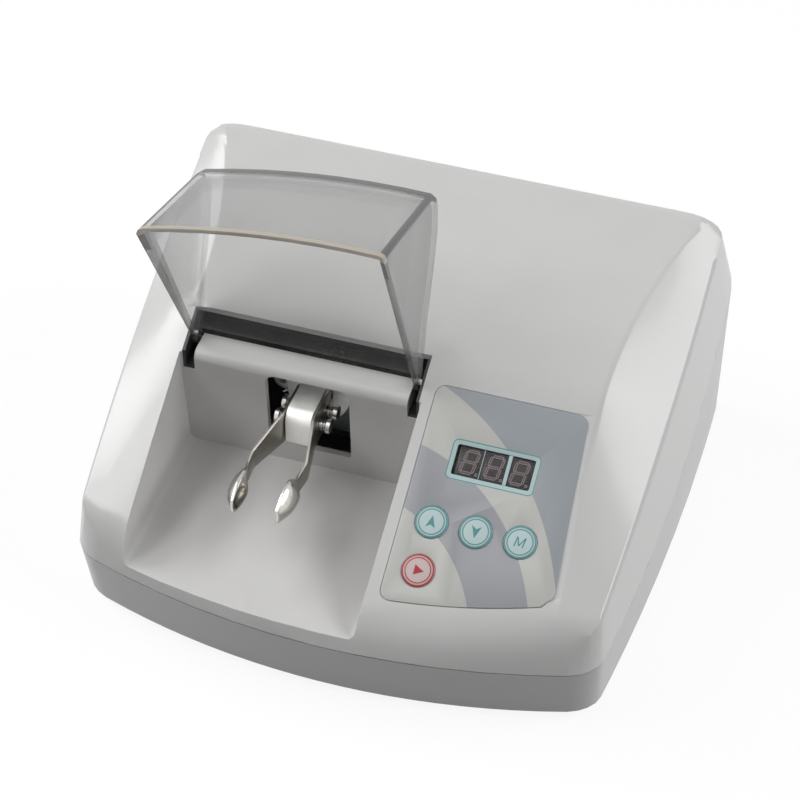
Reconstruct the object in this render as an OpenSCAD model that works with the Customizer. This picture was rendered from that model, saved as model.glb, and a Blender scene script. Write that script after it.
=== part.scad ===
// Dental amalgamator: a bench machine that shakes a mixing capsule held in a spring fork.
// Z is up and the front faces -Y. The origin lies on the table, under the middle of the body.

/* [Body] */
// Width of the body where its sides bulge most
body_w = 227.2; // [222:0.2:236]
// Depth from the middle of the front arc to the back wall
body_d = 202.4; // [200:0.2:212]
// Height of the top's back edge above the table
body_h = 114.8; // [112:0.2:122]
// How far the front corners lie behind the middle of the front arc
front_sag = 17.8; // [15:0.2:20]
// Wall of both mouldings
wall = 2.6; // [2.2:0.1:3]
// Height of the parting line above the table at the front
part_front_z = 30; // [28:0.5:31]
// Rise of the parting line from the front corners to the back
part_rise = 48.6; // [44:0.2:50]
// Reveal between the two mouldings
part_gap = 0.4; // [0.2:0.1:0.6]
// Radius of the front corners, seen from above
corner_r = 9; // [6:0.5:12]
// Rounding of the top's front edge
nose_r = 8; // [5:0.5:10]
// Height of the rubber feet
foot_h = 4; // [3:0.5:6]
// Radius of the rubber feet
foot_r = 8; // [6:0.5:10]

/* [Top] */
// Slope of the control panel in degrees
panel_slope = 29; // [28:0.5:30]
// Distance of the crease behind the body's middle
crease_y = -0.8; // [-2:0.2:0]
// Half width of the flat top at its waist
waist_x = 83.5; // [82:0.5:85]
// Sideways draft of the side walls, in mm for each mm of height
side_draft = 0.115; // [0.08:0.005:0.13]

/* [Chamber] */
// Left wall of the mixing chamber
chamber_x0 = -82; // [-83:0.5:-81]
// Width of the mixing chamber
chamber_w = 97.5; // [97:0.5:99]
// Height of the chamber's floor
chamber_floor_z = 35.1; // [34:0.1:36]
// Front face of the chamber's back wall
chamber_back_y = -17.8; // [-18.5:0.1:-17]
// Width of the window for the fork
window_w = 34.5; // [32:0.5:36]
// Height of the window for the fork
window_h = 36; // [34:0.5:37]
// Depth of the ledge over the back wall
ledge_d = 12; // [11:0.5:13]

/* [Lid] */
// Thickness of the clear lid
lid_t = 2.2; // [1.8:0.1:2.6]
// Play between the lid and the chamber's left wall
lid_play = 1.6; // [1.2:0.1:2]
// Play between the lid and the chamber's right wall
lid_play_right = 2.3; // [2:0.1:2.6]
// Angle from closed to the open rest
lid_open = 97; // [90:1:98]
// Height of the lid's front bend when closed
lid_bend_z = 100; // [97:0.5:103]
// Radius of the hinge pins
pin_r = 1.5; // [1.2:0.1:1.8]

/* [Fork] */
// Side position of the mechanism
mech_x = -31.5; // [-32.5:0.5:-30.5]
// Height of the motor's axis
mech_z = 60.2; // [59.5:0.1:61]
// Tilt of the oblique journal in degrees
tilt = 4; // [3:0.25:4.5]
// Width of the rocker block
block_w = 10.4; // [9.8:0.2:11.4]
// Length of the rocker block in front of its bearing
block_l = 24; // [23:0.5:25]
// Thickness of the fork's spring strip
arm_t = 1.1; // [0.8:0.1:1.3]
// Length of an arm in front of the block
arm_l = 48; // [45:1:50]
// Height of an arm where it leaves the block
arm_h = 15; // [13:0.5:15.5]
// Half distance between the arms at their bend
arm_spread = 10.9; // [10.4:0.1:11.6]
// Depth of the capsule cups
cup_depth = 4.2; // [3:0.2:4.6]

/* [Controls] */
// Radius of the four keys
key_r = 6.4; // [5.6:0.1:6.8]
// Spacing of the keys
key_pitch = 17.3; // [16.5:0.1:18]
// Travel of a key
key_travel = 0.4; // [0.3:0.05:0.5]
// Thickness of the membrane overlay
overlay_t = 0.8; // [0.6:0.1:1]
// Width of the display frame
display_w = 34.6; // [32:0.2:36]
// Height of the display frame, along the slope
display_h = 16; // [15:0.2:17]

/* [Drive] */
// Radius of the motor
motor_r = 25; // [23:0.5:26]
// Length of the motor's can
motor_l = 54; // [50:1:58]
// Radius of the motor's shaft
shaft_r = 2.5; // [2:0.1:2.6]
// Running clearance of shafts and pins, on the radius
run_gap = 0.05; // [0.03:0.01:0.08]

/* [Power] */
// Width of the mains inlet's opening
inlet_w = 27; // [26:0.5:28]
// Height of the mains inlet's opening
inlet_h = 20; // [19:0.5:21]
// Width of the power switch
switch_w = 21; // [20:0.5:22]
// Throw of the power switch in degrees
switch_throw = 10; // [6:1:12]

/* [Hidden] */

fine = 64;
coarse = 32;
gap = 0.3;
cut = 1;

y_front = -body_d / 2;
y_back = body_d / 2;
side_r = 1011;
wide_y = 48.2;
corner_y = y_front + front_sag;
front_hw = body_w / 2 - pow(corner_y - wide_y, 2) / (2 * side_r);
front_r = (front_hw * front_hw + front_sag * front_sag) / (2 * front_sag);
rise_y = y_front + 19.4;
part_back_z = part_front_z + part_rise;
base_lean = 0.138;
front_lean = 0.25;
front_lean_top = 48;
back_lean = 14.7;
back_corner_r = 9.5;
back_edge_r = 4;
arc_fade = 0.42;
nose_z = 46.6;
nose_y = y_front + 15.7;
crease_z = nose_z + (crease_y - nose_y) * tan(panel_slope);
top_back_y = y_back - back_lean;
rear_slope = (body_h - crease_z) / (top_back_y - crease_y);
crease_blend = 6;
light_front_z = 48.1;
light_front_y = y_front + 21.7;
light_back_z = body_h - 5.9;
crease_soft = 9;
waist_y = 4.2;
waist_span = 81;
waist_front = 5.5;
waist_back = 19;

function lerp(a, b, t) = a + (b - a) * t;
function clamp(v, lo, hi) = max(lo, min(hi, v));
function round_off(d, r) = d >= r ? 0 : r - sqrt(r * r - pow(r - max(d, 0), 2));
function bezier2(a, b, c, t) = lerp(lerp(a, b, t), lerp(b, c, t), t);
function bezier3(a, b, c, d, t) = lerp(bezier2(a, b, c, t), bezier2(b, c, d, t), t);

// Plan and side view of the body: side arcs, front arc, parting line and top line
function side_x(y) = body_w / 2 - pow(y - wide_y, 2) / (2 * side_r);
function arc_y(x) = y_front + front_r - sqrt(front_r * front_r - x * x);
function part_z(y) = part_front_z + part_rise * pow(max(0, y - rise_y) / (y_back - rise_y), 2);
function top_z(y) =
  let (m1 = tan(panel_slope), m2 = rear_slope, u = y - crease_y + crease_blend)
  u < 0 ? crease_z + (y - crease_y) * m1
    : u > 2 * crease_blend ? crease_z + (y - crease_y) * m2
    : crease_z - crease_blend * m1 + m1 * u + (m2 - m1) * u * u / (4 * crease_blend);
function light_z(y) =
  lerp(light_front_z, light_back_z, (y - light_front_y) / (top_back_y - light_front_y));
function crease_x(y) =
  waist_x + (y < waist_y ? waist_front : waist_back) * pow((y - waist_y) / waist_span, 2);
function front_in(z) = z < part_front_z ? base_lean * (part_front_z - z)
  : front_lean * (min(z, front_lean_top) - part_front_z);
function back_in(z) = back_lean * clamp((z - part_back_z) / (body_h - part_back_z), 0, 1);
function face_y(s, x, z, w) =
  lerp(y_front + front_in(z) + w, y_back - back_in(z) - w, s)
  + (arc_y(x) - y_front) * max(0, 1 - s / arc_fade);

// Half section of the upper moulding at height and width for path point j, inset by w
function half_point(j, y, s, w) =
  let (d0 = s * body_d, d1 = (1 - s) * body_d)
  let (corner = round_off(d0, corner_r) + round_off(d1, back_corner_r))
  let (nose = round_off(d0, nose_r) + round_off(d1, back_edge_r))
  let (xs = side_x(y) - corner - w, zt = top_z(y) - nose - w)
  let (zl = min(light_z(y), top_z(y) - 1.5) - nose - 0.6 * w)
  let (xl = xs - side_draft * max(0, zl - part_z(y)))
  let (xc = min(crease_x(y), xl - 4) - 0.3 * w)
  let (low = w > 0 ? 4 : 0)
  let (a = [(xl + xc) / 2, (zl + zt) / 2], b = [xc, zt], c = [xc - crease_soft, zt])
  j == 0 ? [xs, part_z(y) - low]
    : j == 1 ? [xl, zl]
    : j == 2 ? a
    : j < 6 ? bezier2(a, b, c, (j - 2) / 3)
    : [c[0] * (10 - j) / 5, zt];
function path_point(i, s, w) =
  let (side = i <= 10 ? 1 : -1, j = i <= 10 ? i : 20 - i)
  let (q0 = half_point(j, lerp(y_front, y_back, s), s, w))
  let (q1 = half_point(j, face_y(s, q0[0], q0[1], w), s, w))
  let (y = face_y(s, q1[0], q1[1], w), q = half_point(j, y, s, w))
  [side * q[0], y, q[1]];
function under_point(i, s, w) =
  let (p = path_point(i, s, w), low = w > 0 ? 4 : 0)
  let (y = face_y(s, p[0], part_z(p[1]), w))
  [p[0], y, part_z(y) - low];
function cover_ring(s, w) =
  concat([for (i = [0:20]) path_point(i, s, w)], [for (i = [19:-1:1]) under_point(i, s, w)]);

// Section of the lower moulding: its top follows the parting line
function base_x(k, y, s, w) =
  (side_x(y) - round_off(s * body_d, corner_r) - round_off((1 - s) * body_d, back_corner_r) - w) * (1 - k / 10);
function base_point(k, s, w, up) =
  let (z0 = up ? part_z(lerp(y_front, y_back, s)) : foot_h)
  let (y0 = face_y(s, base_x(k, lerp(y_front, y_back, s), s, w), z0, w))
  let (x = base_x(k, y0, s, w) - (up ? 0 : 1.2 * (1 - k / 10)))
  let (y = face_y(s, x, up ? part_z(y0) : foot_h, w))
  let (z_up = part_z(y) + (w > 0 ? 6 : -part_gap), z_low = foot_h + (w > 0 ? wall : 0))
  [x, y, up ? z_up : z_low];
function base_ring(s, w) =
  concat([for (k = [0:20]) base_point(k, s, w, true)], [for (k = [20:-1:0]) base_point(k, s, w, false)]);

// Faces of a lofted solid: n rings of m points, as triangles
function tri_quad(a, b, c, d) = a == d ? [[a, b, c]] : b == c ? [[a, b, d]] : [[a, b, c], [a, c, d]];
function skin(n, m) = [for (k = [0:n - 2], i = [0:m - 1])
  each tri_quad(k * m + i, k * m + (i + 1) % m, (k + 1) * m + (i + 1) % m, (k + 1) * m + i)];
function strip_caps(n, m, top, partner) =
  let (last = (n - 1) * m)
  [for (i = [0:top - 2]) each concat(
    tri_quad(partner[i], partner[i + 1], i + 1, i),
    tri_quad(last + i, last + i + 1, last + partner[i + 1], last + partner[i]))];
module cover_loft(stations, w) {
  partner = [for (i = [0:20]) i == 0 ? 0 : 40 - i];
  polyhedron([for (s = stations) each cover_ring(s, w)],
    concat(skin(len(stations), 40), strip_caps(len(stations), 40, 21, partner)), convexity = 6);
}
module base_loft(stations, w) {
  partner = [for (i = [0:20]) 41 - i];
  polyhedron([for (s = stations) each base_ring(s, w)],
    concat(skin(len(stations), 42), strip_caps(len(stations), 42, 21, partner)), convexity = 6);
}
module plain_loft(rings, paired = false) {
  m = len(rings[0]);
  n = len(rings);
  caps = paired ? strip_caps(n, m, m / 2, [for (i = [0:m - 1]) m - 1 - i])
    : [[for (i = [m - 1:-1:0]) i], [for (i = [0:m - 1]) (n - 1) * m + i]];
  polyhedron([for (r = rings) each r], concat(skin(n, m), caps), convexity = 6);
}
edge_steps = [0, 0.8, 2.6, 5.5, 9.5];
crease_s = (crease_y - y_front) / body_d;
cover_stations = concat(edge_steps / body_d, [0.09, 0.15, 0.22, 0.3, 0.38],
  [for (t = [-0.045, -0.02, 0, 0.02, 0.045]) crease_s + t], [0.6, 0.68, 0.76, 0.84, 0.9],
  [for (i = [4:-1:0]) 1 - edge_steps[i] / body_d]);
hollow_stations = [0, 0.04, 0.14, 0.26, 0.4, crease_s - 0.03, crease_s + 0.03, 0.62, 0.76, 0.9, 0.96, 1];
base_stations = concat(edge_steps / body_d, [0.12, 0.22, 0.34, 0.46, 0.58, 0.7, 0.82, 0.9],
  [for (i = [4:-1:0]) 1 - edge_steps[i] / body_d]);
base_hollow_stations = [0, 0.03, 0.08, 0.2, 0.34, 0.5, 0.66, 0.82, 0.94, 0.98, 1];

// Slanted frame of the control panel: x across, y up the slope, z out of the surface
panel_y = nose_y;
module on_panel() {
  translate([0, panel_y, nose_z]) rotate([panel_slope, 0, 0]) children();
}
// Frame of the oblique journal: the fork's own frame, nose up by the tilt
bearing_y = 2;
module on_rocker() {
  translate([mech_x, bearing_y, mech_z]) rotate([-tilt, 0, 0]) children();
}
// A straight round bar along Y from y0 to y1
module bar_y(r, y0, y1, n = fine) {
  translate([0, y1, 0]) rotate([90, 0, 0]) cylinder(r = r, h = y1 - y0, $fn = n);
}
// A straight round bar along X from x0 to x1
module bar_x(r, x0, x1, n = fine) {
  translate([x0, 0, 0]) rotate([0, 90, 0]) cylinder(r = r, h = x1 - x0, $fn = n);
}
// A box by its two corners
module box(a, b) {
  translate(a) cube(b - a);
}
// A flat plate with rounded corners, centred, rising from z = 0
module plate(w, h, t, r) {
  linear_extrude(t) rounded(w, h, r);
}
module rounded(w, h, r) {
  polygon([for (q = [0:3], a = [0:15:90])
    let (sx = q == 0 || q == 3 ? 1 : -1, sy = q < 2 ? 1 : -1)
    [sx * (w / 2 - r) + r * cos(a + 90 * q), sy * (h / 2 - r) + r * sin(a + 90 * q)]]);
}
// Screw heads with a cross recess, head up, shank down
module screw(head_r, head_h, shank_r, shank_l) {
  difference() {
    union() {
      cylinder(r = head_r, h = head_h, $fn = coarse);
      translate([0, 0, -shank_l]) cylinder(r = shank_r, h = shank_l, $fn = coarse);
    }
    for (a = [0, 90]) rotate(a) translate([-head_r * 0.6, -0.4, head_h - 0.7]) cube([head_r * 1.2, 0.8, 1]);
  }
}
// A helical spring of round wire along Z, as one unbroken tube
function wire_ring(r, wire, pitch, a, sides) =
  [for (k = [0:sides - 1]) let (b = 360 * k / sides, q = r + wire * cos(b))
    [q * cos(a), q * sin(a), pitch * a / 360 + wire * sin(b)]];
module coil(r, wire, height, turns) {
  pitch = (height - 2 * wire) / turns;
  echo(least_gap = pitch - 2 * wire);
  translate([0, 0, wire])
    plain_loft([for (a = [turns * 8:-1:0]) wire_ring(r, wire, pitch, a * 45, 6)]);
}

// Mixing chamber, ledge, slot and window
chamber_x1 = chamber_x0 + chamber_w;
floor_fillet = 3;
chamber_draft = 0.02;
chamber_top = 140;
ledge_low = 0.727;
ledge_z = top_z(chamber_back_y) - ledge_low;
ledge_round = 4;
slot_floor_z = ledge_z - 3;
slot_d = 9;
ledge_back_y = chamber_back_y + ledge_d;
ear_gap = max(lid_play, lid_play_right) + lid_t + 0.4;
ear_gap_z = ledge_z - 8.9;
slot_back_y = ledge_back_y + slot_d + 3;
module chamber_section() {
  lean = chamber_draft * (chamber_top - chamber_floor_z);
  polygon(concat(
    [[chamber_x0 - lean, chamber_top]],
    [for (a = [0:15:90]) [chamber_x0 + floor_fillet - floor_fillet * cos(a),
      chamber_floor_z + floor_fillet - floor_fillet * sin(a)]],
    [for (a = [0:15:90]) [chamber_x1 - floor_fillet + floor_fillet * sin(a),
      chamber_floor_z + floor_fillet - floor_fillet * cos(a)]],
    [[chamber_x1 + lean, chamber_top]]));
}
module chamber_void() {
  depth = chamber_back_y - y_front + 20;
  translate([0, chamber_back_y, 0]) rotate([90, 0, 0]) linear_extrude(depth) chamber_section();
  ledge_void();
  for (x = [chamber_x0, chamber_x1 - ear_gap])
    box([x, chamber_back_y - cut, ear_gap_z], [x + ear_gap, ledge_back_y + cut, chamber_top]);
}
module ledge_void() {
  y0 = chamber_back_y;
  outline = concat(
    [[y0 - cut, chamber_top], [y0 - cut, ledge_z - ledge_round]],
    [for (a = [0:18:90]) [y0 + ledge_round - ledge_round * cos(a),
      ledge_z - ledge_round + ledge_round * sin(a)]],
    [[ledge_back_y, ledge_z], [ledge_back_y, slot_floor_z], [slot_back_y, slot_floor_z],
      [slot_back_y, top_z(slot_back_y) - wall], [crease_y, top_z(crease_y) - wall],
      [crease_y, chamber_top]]);
  translate([chamber_x0, 0, 0]) rotate([90, 0, 90]) linear_extrude(chamber_w) polygon(outline);
}
module tub_block() {
  box([chamber_x0 - wall, y_front - 10, chamber_floor_z - wall],
    [chamber_x1 + wall, chamber_back_y + wall, chamber_top]);
  box([chamber_x0 - wall, chamber_back_y, slot_floor_z - 2.4],
    [chamber_x1 + wall, slot_back_y + wall, chamber_top]);
  for (x = [chamber_x0 - wall, chamber_x1 - ear_gap - wall])
    box([x, chamber_back_y, ear_gap_z - wall], [x + ear_gap + 2 * wall, ledge_back_y + 2 * wall, chamber_top]);
}
window_x = mech_x + 1.2;
window_z0 = ledge_z - 3.4 - window_h;
window_r = 4;
window_low_r = 1.2;
module window_cut() {
  translate([window_x, chamber_back_y + wall + cut, window_z0 + window_h / 2]) rotate([90, 0, 0])
    linear_extrude(wall + 2 * cut) {
      rounded(window_w, window_h, window_r);
      translate([0, -window_h / 4]) rounded(window_w, window_h / 2, window_low_r);
    }
}

// Control panel: outline of the overlay, keys and display on the slope
overlay_x0 = chamber_x1 + 5.4;
overlay_x1 = 85;
overlay_x2 = 81;
overlay_l = 86;
overlay_r = 4;
overlay_seat = 0.5;
keys_x = overlay_x0 + 12;
keys_l = 33;
start_l = 13.8;
display_x = overlay_x0 + 29.2;
display_l = 58.8;
function overlay_foot(x) = (arc_y(x) - arc_y(overlay_x0)) / cos(panel_slope);
module overlay_shape(grow) {
  steps = 10;
  r = overlay_r;
  x0 = overlay_x0 - grow;
  x1 = overlay_x1 + grow;
  x2 = overlay_x2 + grow;
  top = overlay_l + grow;
  foot = [for (i = [0:steps]) let (x = lerp(x0 + r, x1 - r, i / steps)) [x, overlay_foot(x) - grow]];
  right_l = overlay_foot(x1 - r) - grow;
  polygon(concat(foot,
    [for (a = [-60:20:0]) [x1 - r + r * cos(a), right_l + r + 2 + r * sin(a)]],
    [for (a = [0:18:90]) [x2 - r + r * cos(a), top - r + r * sin(a)]],
    [for (a = [90:18:180]) [x0 + r + r * cos(a), top - r + r * sin(a)]],
    [for (a = [180:18:252]) [x0 + r + r * cos(a), overlay_foot(x0 + r) - grow + r + r * sin(a)]]));
}
key_places = [[keys_x, keys_l], [keys_x + key_pitch, keys_l], [keys_x + 2 * key_pitch, keys_l],
  [keys_x, start_l]];
board_z = -9;
board_t = 1.6;
board_post_r = 3;
post_x0 = overlay_x0 + 5.1;
post_x1 = overlay_x1 - 8;
board_posts = [[post_x0, 8], [post_x1, 20], [post_x0, 76], [post_x1 - 1, 76]];
board_x0 = overlay_x0 - 2.3;
board_x1 = overlay_x1 - 3.4;
board_l0 = 3;
board_l1 = 81;

// Housing screws: where they stand and where the bosses of the two mouldings meet
screw_places = [[-93, -58], [93, -58], [-96, 82], [96, 82]];
boss_r = 4.6;
screw_pilot_r = 1.5;
screw_l = 20;
function boss_z(p) = part_z(p[1] + boss_r) + 0.5;

module upper_housing() color("whitesmoke") difference() {
  union() {
    cover_loft(cover_stations, 0);
    box([chamber_x0 - wall, corner_y + 8, chamber_floor_z - wall],
      [chamber_x1 + wall, chamber_back_y + wall, chamber_floor_z + 12]);
  }
  difference() {
    cover_loft(hollow_stations, wall);
    tub_block();
    for (p = screw_places) translate([p[0], p[1], boss_z(p)]) cylinder(r = boss_r, h = 100, $fn = coarse);
    on_panel() for (p = board_posts)
      translate([p[0], p[1], board_z]) cylinder(r = board_post_r, h = 20, $fn = coarse);
  }
  chamber_void();
  window_cut();
  on_panel() {
    translate([0, 0, -overlay_seat]) linear_extrude(5) overlay_shape(gap);
    for (p = key_places) translate([p[0], p[1], -6]) cylinder(r = key_r + gap, h = 10, $fn = fine);
    translate([display_x, display_l, -6]) plate(display_w - 3, display_h - 3, 10, 1);
    for (p = board_posts) translate([p[0], p[1], board_z - cut])
      cylinder(r = 1.1, h = 6, $fn = coarse);
  }
  for (p = screw_places) translate([p[0], p[1], boss_z(p) - cut])
    cylinder(r = screw_pilot_r, h = 13, $fn = coarse);
  for (x = [chamber_x0 - wall - 2, chamber_x1 - cut]) translate([0, hinge_y, hinge_z])
    bar_x(pin_r + run_gap, x, x + wall + 3);
}

// Lower moulding: tray with bosses, mounts, vents and the back panel openings
tray_z = foot_h + wall;
inlet_x = -66;
inlet_z = 34;
switch_x = -30;
switch_z = 34;
foot_places = [[-86, -68], [86, -68], [-86, 74], [86, 74]];
mount_post_r = 7;
mount_post_h = 4;
cradle_z = 22;
mount_dx = 26;
mount_y = [26, 62];
vent_count = 7;
module lower_base() color("gainsboro") difference() {
  union() {
    difference() {
      base_loft(base_stations, 0);
      base_loft(base_hollow_stations, wall);
    }
    for (p = screw_places) translate([p[0], p[1], foot_h + 1])
      cylinder(r = boss_r, h = boss_z(p) - gap - foot_h - 1, $fn = coarse);
    for (sx = [-1, 1], y = mount_y) translate([mech_x + sx * mount_dx, y, foot_h + 1])
      cylinder(r = mount_post_r, h = wall - 1 + mount_post_h, $fn = coarse);
    for (p = control_posts) translate([p[0], p[1], foot_h + 1])
      cylinder(r = 3, h = control_z - foot_h - 1, $fn = coarse);
  }
  for (p = screw_places) {
    translate([p[0], p[1], foot_h - cut]) cylinder(r = screw_pilot_r + 0.3, h = boss_z(p), $fn = coarse);
    translate([p[0], p[1], foot_h - cut]) cylinder(r = 3.3, h = boss_z(p) - foot_h + cut - 10, $fn = coarse);
  }
  for (i = [0:vent_count - 1]) box([20 + 9 * i, -20, foot_h - cut], [23 + 9 * i, 30, tray_z + cut]);
  translate([inlet_x, y_back - wall - cut, inlet_z]) rotate([90, 0, 180])
    plate(inlet_w + 0.4, inlet_h + 0.4, wall + 2 * cut, 2);
  translate([switch_x, y_back - wall - cut, switch_z]) rotate([90, 0, 180])
    plate(switch_w + 0.4, inlet_h + 0.4, wall + 2 * cut, 1);
  for (sx = [-1, 1]) translate([inlet_x + sx * inlet_screw_dx, 0, inlet_z]) {
    bar_y(inlet_hole_r, y_back - wall - cut, y_back + cut, coarse);
    bar_y(inlet_head_r + 0.15, y_back - inlet_head_h - 0.15, y_back + cut, coarse);
  }
  for (p = control_posts) translate([p[0], p[1], control_z - 6.5])
    cylinder(r = 1.1, h = 6.5 + cut, $fn = coarse);
}
module rubber_feet() color("dimgray") for (p = foot_places) translate([p[0], p[1], 0])
  rotate_extrude($fn = fine) polygon([[2.5, 1.6], [2.5, 0], [foot_r - 1, 0], [foot_r, 0.8],
    [foot_r - 0.6, foot_h], [0, foot_h], [0, 1.6]]);
module housing_screws() color("silver") for (p = screw_places)
  translate([p[0], p[1], boss_z(p) - 10]) rotate([180, 0, 0]) screw(3, 2.2, screw_pilot_r - 0.02, screw_l);

// Clear lid: drawn closed, then swung up to its open rest
pin_cover = 4.393;
hinge_y = chamber_back_y + 9.5;
hinge_z = top_z(hinge_y) - pin_cover;
lid_x0 = chamber_x0 + lid_play;
lid_x1 = chamber_x1 - lid_play_right;
lid_w = lid_x1 - lid_x0;
lid_round = 2.2;
lid_front_gap = 1.6;
lid_floor_gap = 0.7;
lid_bend_in = 13.2;
lid_rear = [hinge_y - 3.7, hinge_z + 3.6];
ear_r = 4;
lid_s = [0, 0.007, 0.024, 0.14, 0.27, 0.4, 0.5, 0.6, 0.73, 0.86, 0.976, 0.993, 1];
// Closed profile in Y and Z at side position x, inset by e: front edge, bend, top and rear
function lid_profile(x, e) =
  let (b = [arc_y(x) + lid_bend_in + e, lid_bend_z - e])
  let (f = [arc_y(x) + lid_front_gap + e, chamber_floor_z + lid_floor_gap])
  let (a = [lid_rear[0], lid_rear[1] - e])
  let (c1 = [lerp(a[0], b[0], 0.5), a[1] + 3.5], c2 = [lerp(a[0], b[0], 0.65), b[1] + 7.5])
  let (n = [for (t = [0, 0.25, 0.5, 0.75, 0.9]) bezier3(a, c1, c2, b, t)])
  let (m = lerp(b, f, 0.14))
  concat(n, [for (t = [0.35, 0.65, 1]) bezier2(n[4], b, m, t)], [lerp(m, f, 0.5), f]);
function lid_outer_ring(x, e) =
  let (p = lid_profile(x, e))
  concat(
    [for (q = p) [x, q[0], q[1]]],
    [for (a = [-110:30:70]) [x, hinge_y + ear_r * cos(a), hinge_z + (ear_r - 0.4) * sin(a)]]);
function lid_inner_ring(x) =
  let (p = lid_profile(x, lid_t), f = p[len(p) - 1])
  concat(
    [for (q = p) [x, q[0], q[1]]],
    [[x, f[0], f[1] - 8], [x, hinge_y + 12, f[1] - 8], [x, hinge_y + 12, lid_rear[1] - lid_t - 0.2]]);
module lid_solid() difference() {
  plain_loft([for (s = lid_s) let (d = lid_w * min(s, 1 - s))
    lid_outer_ring(lerp(lid_x1, lid_x0, s), round_off(d, lid_round))]);
  plain_loft([for (i = [8:-1:0]) lid_inner_ring(lerp(lid_x0 + lid_t, lid_x1 - lid_t, i / 8))]);
  translate([0, hinge_y, hinge_z]) bar_x(pin_r + run_gap, lid_x0 - cut, lid_x1 + cut);
  box([lid_x0 + lid_t, hinge_y - 2, hinge_z - ear_r - cut], [lid_x1 - lid_t, hinge_y + ear_r + cut, hinge_z + ear_r + cut]);
}
module swing_lid(a) {
  translate([0, hinge_y, hinge_z]) rotate([a, 0, 0]) translate([0, -hinge_y, -hinge_z]) children();
}
module lid() color("lightgray", 0.4) swing_lid(-lid_open) lid_solid();
module lid_hinge_pins() color("silver") translate([0, hinge_y, hinge_z]) {
  bar_x(pin_r, chamber_x0 - wall - 1.5, lid_x0 + lid_t - 0.2, coarse);
  bar_x(pin_r, lid_x1 - lid_t + 0.2, chamber_x1 + wall + 1.5, coarse);
}
// Black brackets at both ends of the slot: a side plate round the pin, a foot and a back
bracket_t = lid_play - 0.4;
bracket_y0 = chamber_back_y + 0.4;
bracket_y1 = ledge_back_y + cut - 0.1;
bracket_y2 = slot_back_y - 0.2;
bracket_low = 0.8;
module bracket_side() {
  roof = crease_y - 1;
  translate([-bracket_t, 0, 0]) rotate([90, 0, 90]) linear_extrude(bracket_t) polygon([
    [bracket_y0, ear_gap_z], [bracket_y1, ear_gap_z], [bracket_y1, slot_floor_z], [bracket_y2, slot_floor_z],
    [bracket_y2, top_z(bracket_y2) - wall - 0.4], [roof, top_z(roof) - wall - 0.4],
    [roof, top_z(roof) - bracket_low], [bracket_y0, top_z(bracket_y0) - bracket_low]]);
}
module hinge_bracket() difference() {
  union() {
    bracket_side();
    box([0.1 - ear_gap, bracket_y0, ear_gap_z], [0, bracket_y1, ear_gap_z + 1.2]);
    box([0.1 - ear_gap, bracket_y1 - 1, ear_gap_z], [0, bracket_y1, slot_floor_z]);
  }
  translate([0, hinge_y, hinge_z]) bar_x(pin_r + run_gap, -bracket_t - cut, cut, coarse);
}
module hinge_brackets() color("black") {
  translate([chamber_x1 - 0.1, 0, 0]) hinge_bracket();
  translate([chamber_x0 + 0.1, 0, 0]) mirror([1, 0, 0]) hinge_bracket();
}
// Black lining of the slot's floor and back
baffle_t = 1.5;
module slot_baffle() color("black") {
  x0 = chamber_x0 + bracket_t + 0.4;
  x1 = chamber_x1 - bracket_t - 0.4;
  box([x0, ledge_back_y + cut + 0.2, slot_floor_z], [x1, slot_back_y - 0.1, slot_floor_z + baffle_t]);
  box([x0, slot_back_y - 0.1 - baffle_t, slot_floor_z],
    [x1, slot_back_y - 0.1, top_z(slot_back_y - baffle_t) - wall - 0.4]);
}

// Membrane panel, display and keys
module control_overlay() color("silver") on_panel() difference() {
  translate([0, 0, -overlay_seat]) linear_extrude(overlay_t) overlay_shape(0);
  for (p = key_places) translate([p[0], p[1], -2]) cylinder(r = key_r + 0.15, h = 4, $fn = fine);
  translate([display_x, display_l, -2]) plate(display_w - 4, display_h - 4, 4, 0.8);
}
module display_window() color("darkslategray", 0.6) on_panel()
  translate([display_x, display_l, -2.6]) plate(display_w - 4.2, display_h - 4.2, 2.8, 0.7);
digit_size = [9.8, 11.4, 4];
digit_x = [-9.3, 0.4, 10.3];
module digit_module() color("dimgray") on_panel() for (x = digit_x)
  translate([display_x + x - digit_size[0] / 2 + 0.05, display_l - digit_size[1] / 2, board_z + 0.01])
    cube([digit_size[0] - 0.3, digit_size[1], -2.7 - board_z]);
module display_board() color("darkgreen") on_panel() difference() {
  box([board_x0, board_l0, board_z - board_t], [board_x1, board_l1, board_z]);
  for (p = board_posts) translate([p[0], p[1], board_z - board_t - cut])
    cylinder(r = 1.5, h = board_t + 2 * cut, $fn = coarse);
}
module board_screws() color("silver") {
  on_panel() for (p = board_posts) translate([p[0], p[1], board_z - board_t])
    rotate([180, 0, 0]) screw(2.4, 1.5, 1.05, 6);
  for (p = control_posts) translate([p[0], p[1], control_z + board_t]) screw(2.4, 1.5, 1.05, 6);
}
key_top = overlay_t - overlay_seat + 0.5;
module key_cap(place) {
  on_panel() translate([place[0], place[1], 0]) rotate_extrude($fn = fine) polygon([[0, -3], [2, -3],
    [2, -0.9], [key_r, -0.9], [key_r, key_top - 0.3], [key_r - 0.3, key_top], [0, key_top]]);
}
module key_up() color("lightcyan") key_cap(key_places[0]);
module key_down() color("lightcyan") key_cap(key_places[1]);
module key_mode() color("lightcyan") key_cap(key_places[2]);
module key_start() color("mistyrose") key_cap(key_places[3]);
module key_switches() color("black") on_panel() for (p = key_places)
  translate([p[0] - 3, p[1] - 3, board_z]) {
    cube([6, 6, 3.5]);
    translate([3, 3, 3]) cylinder(r = 1.6, h = -3 - key_travel - 0.15 - board_z - 3, $fn = coarse);
  }

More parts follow.
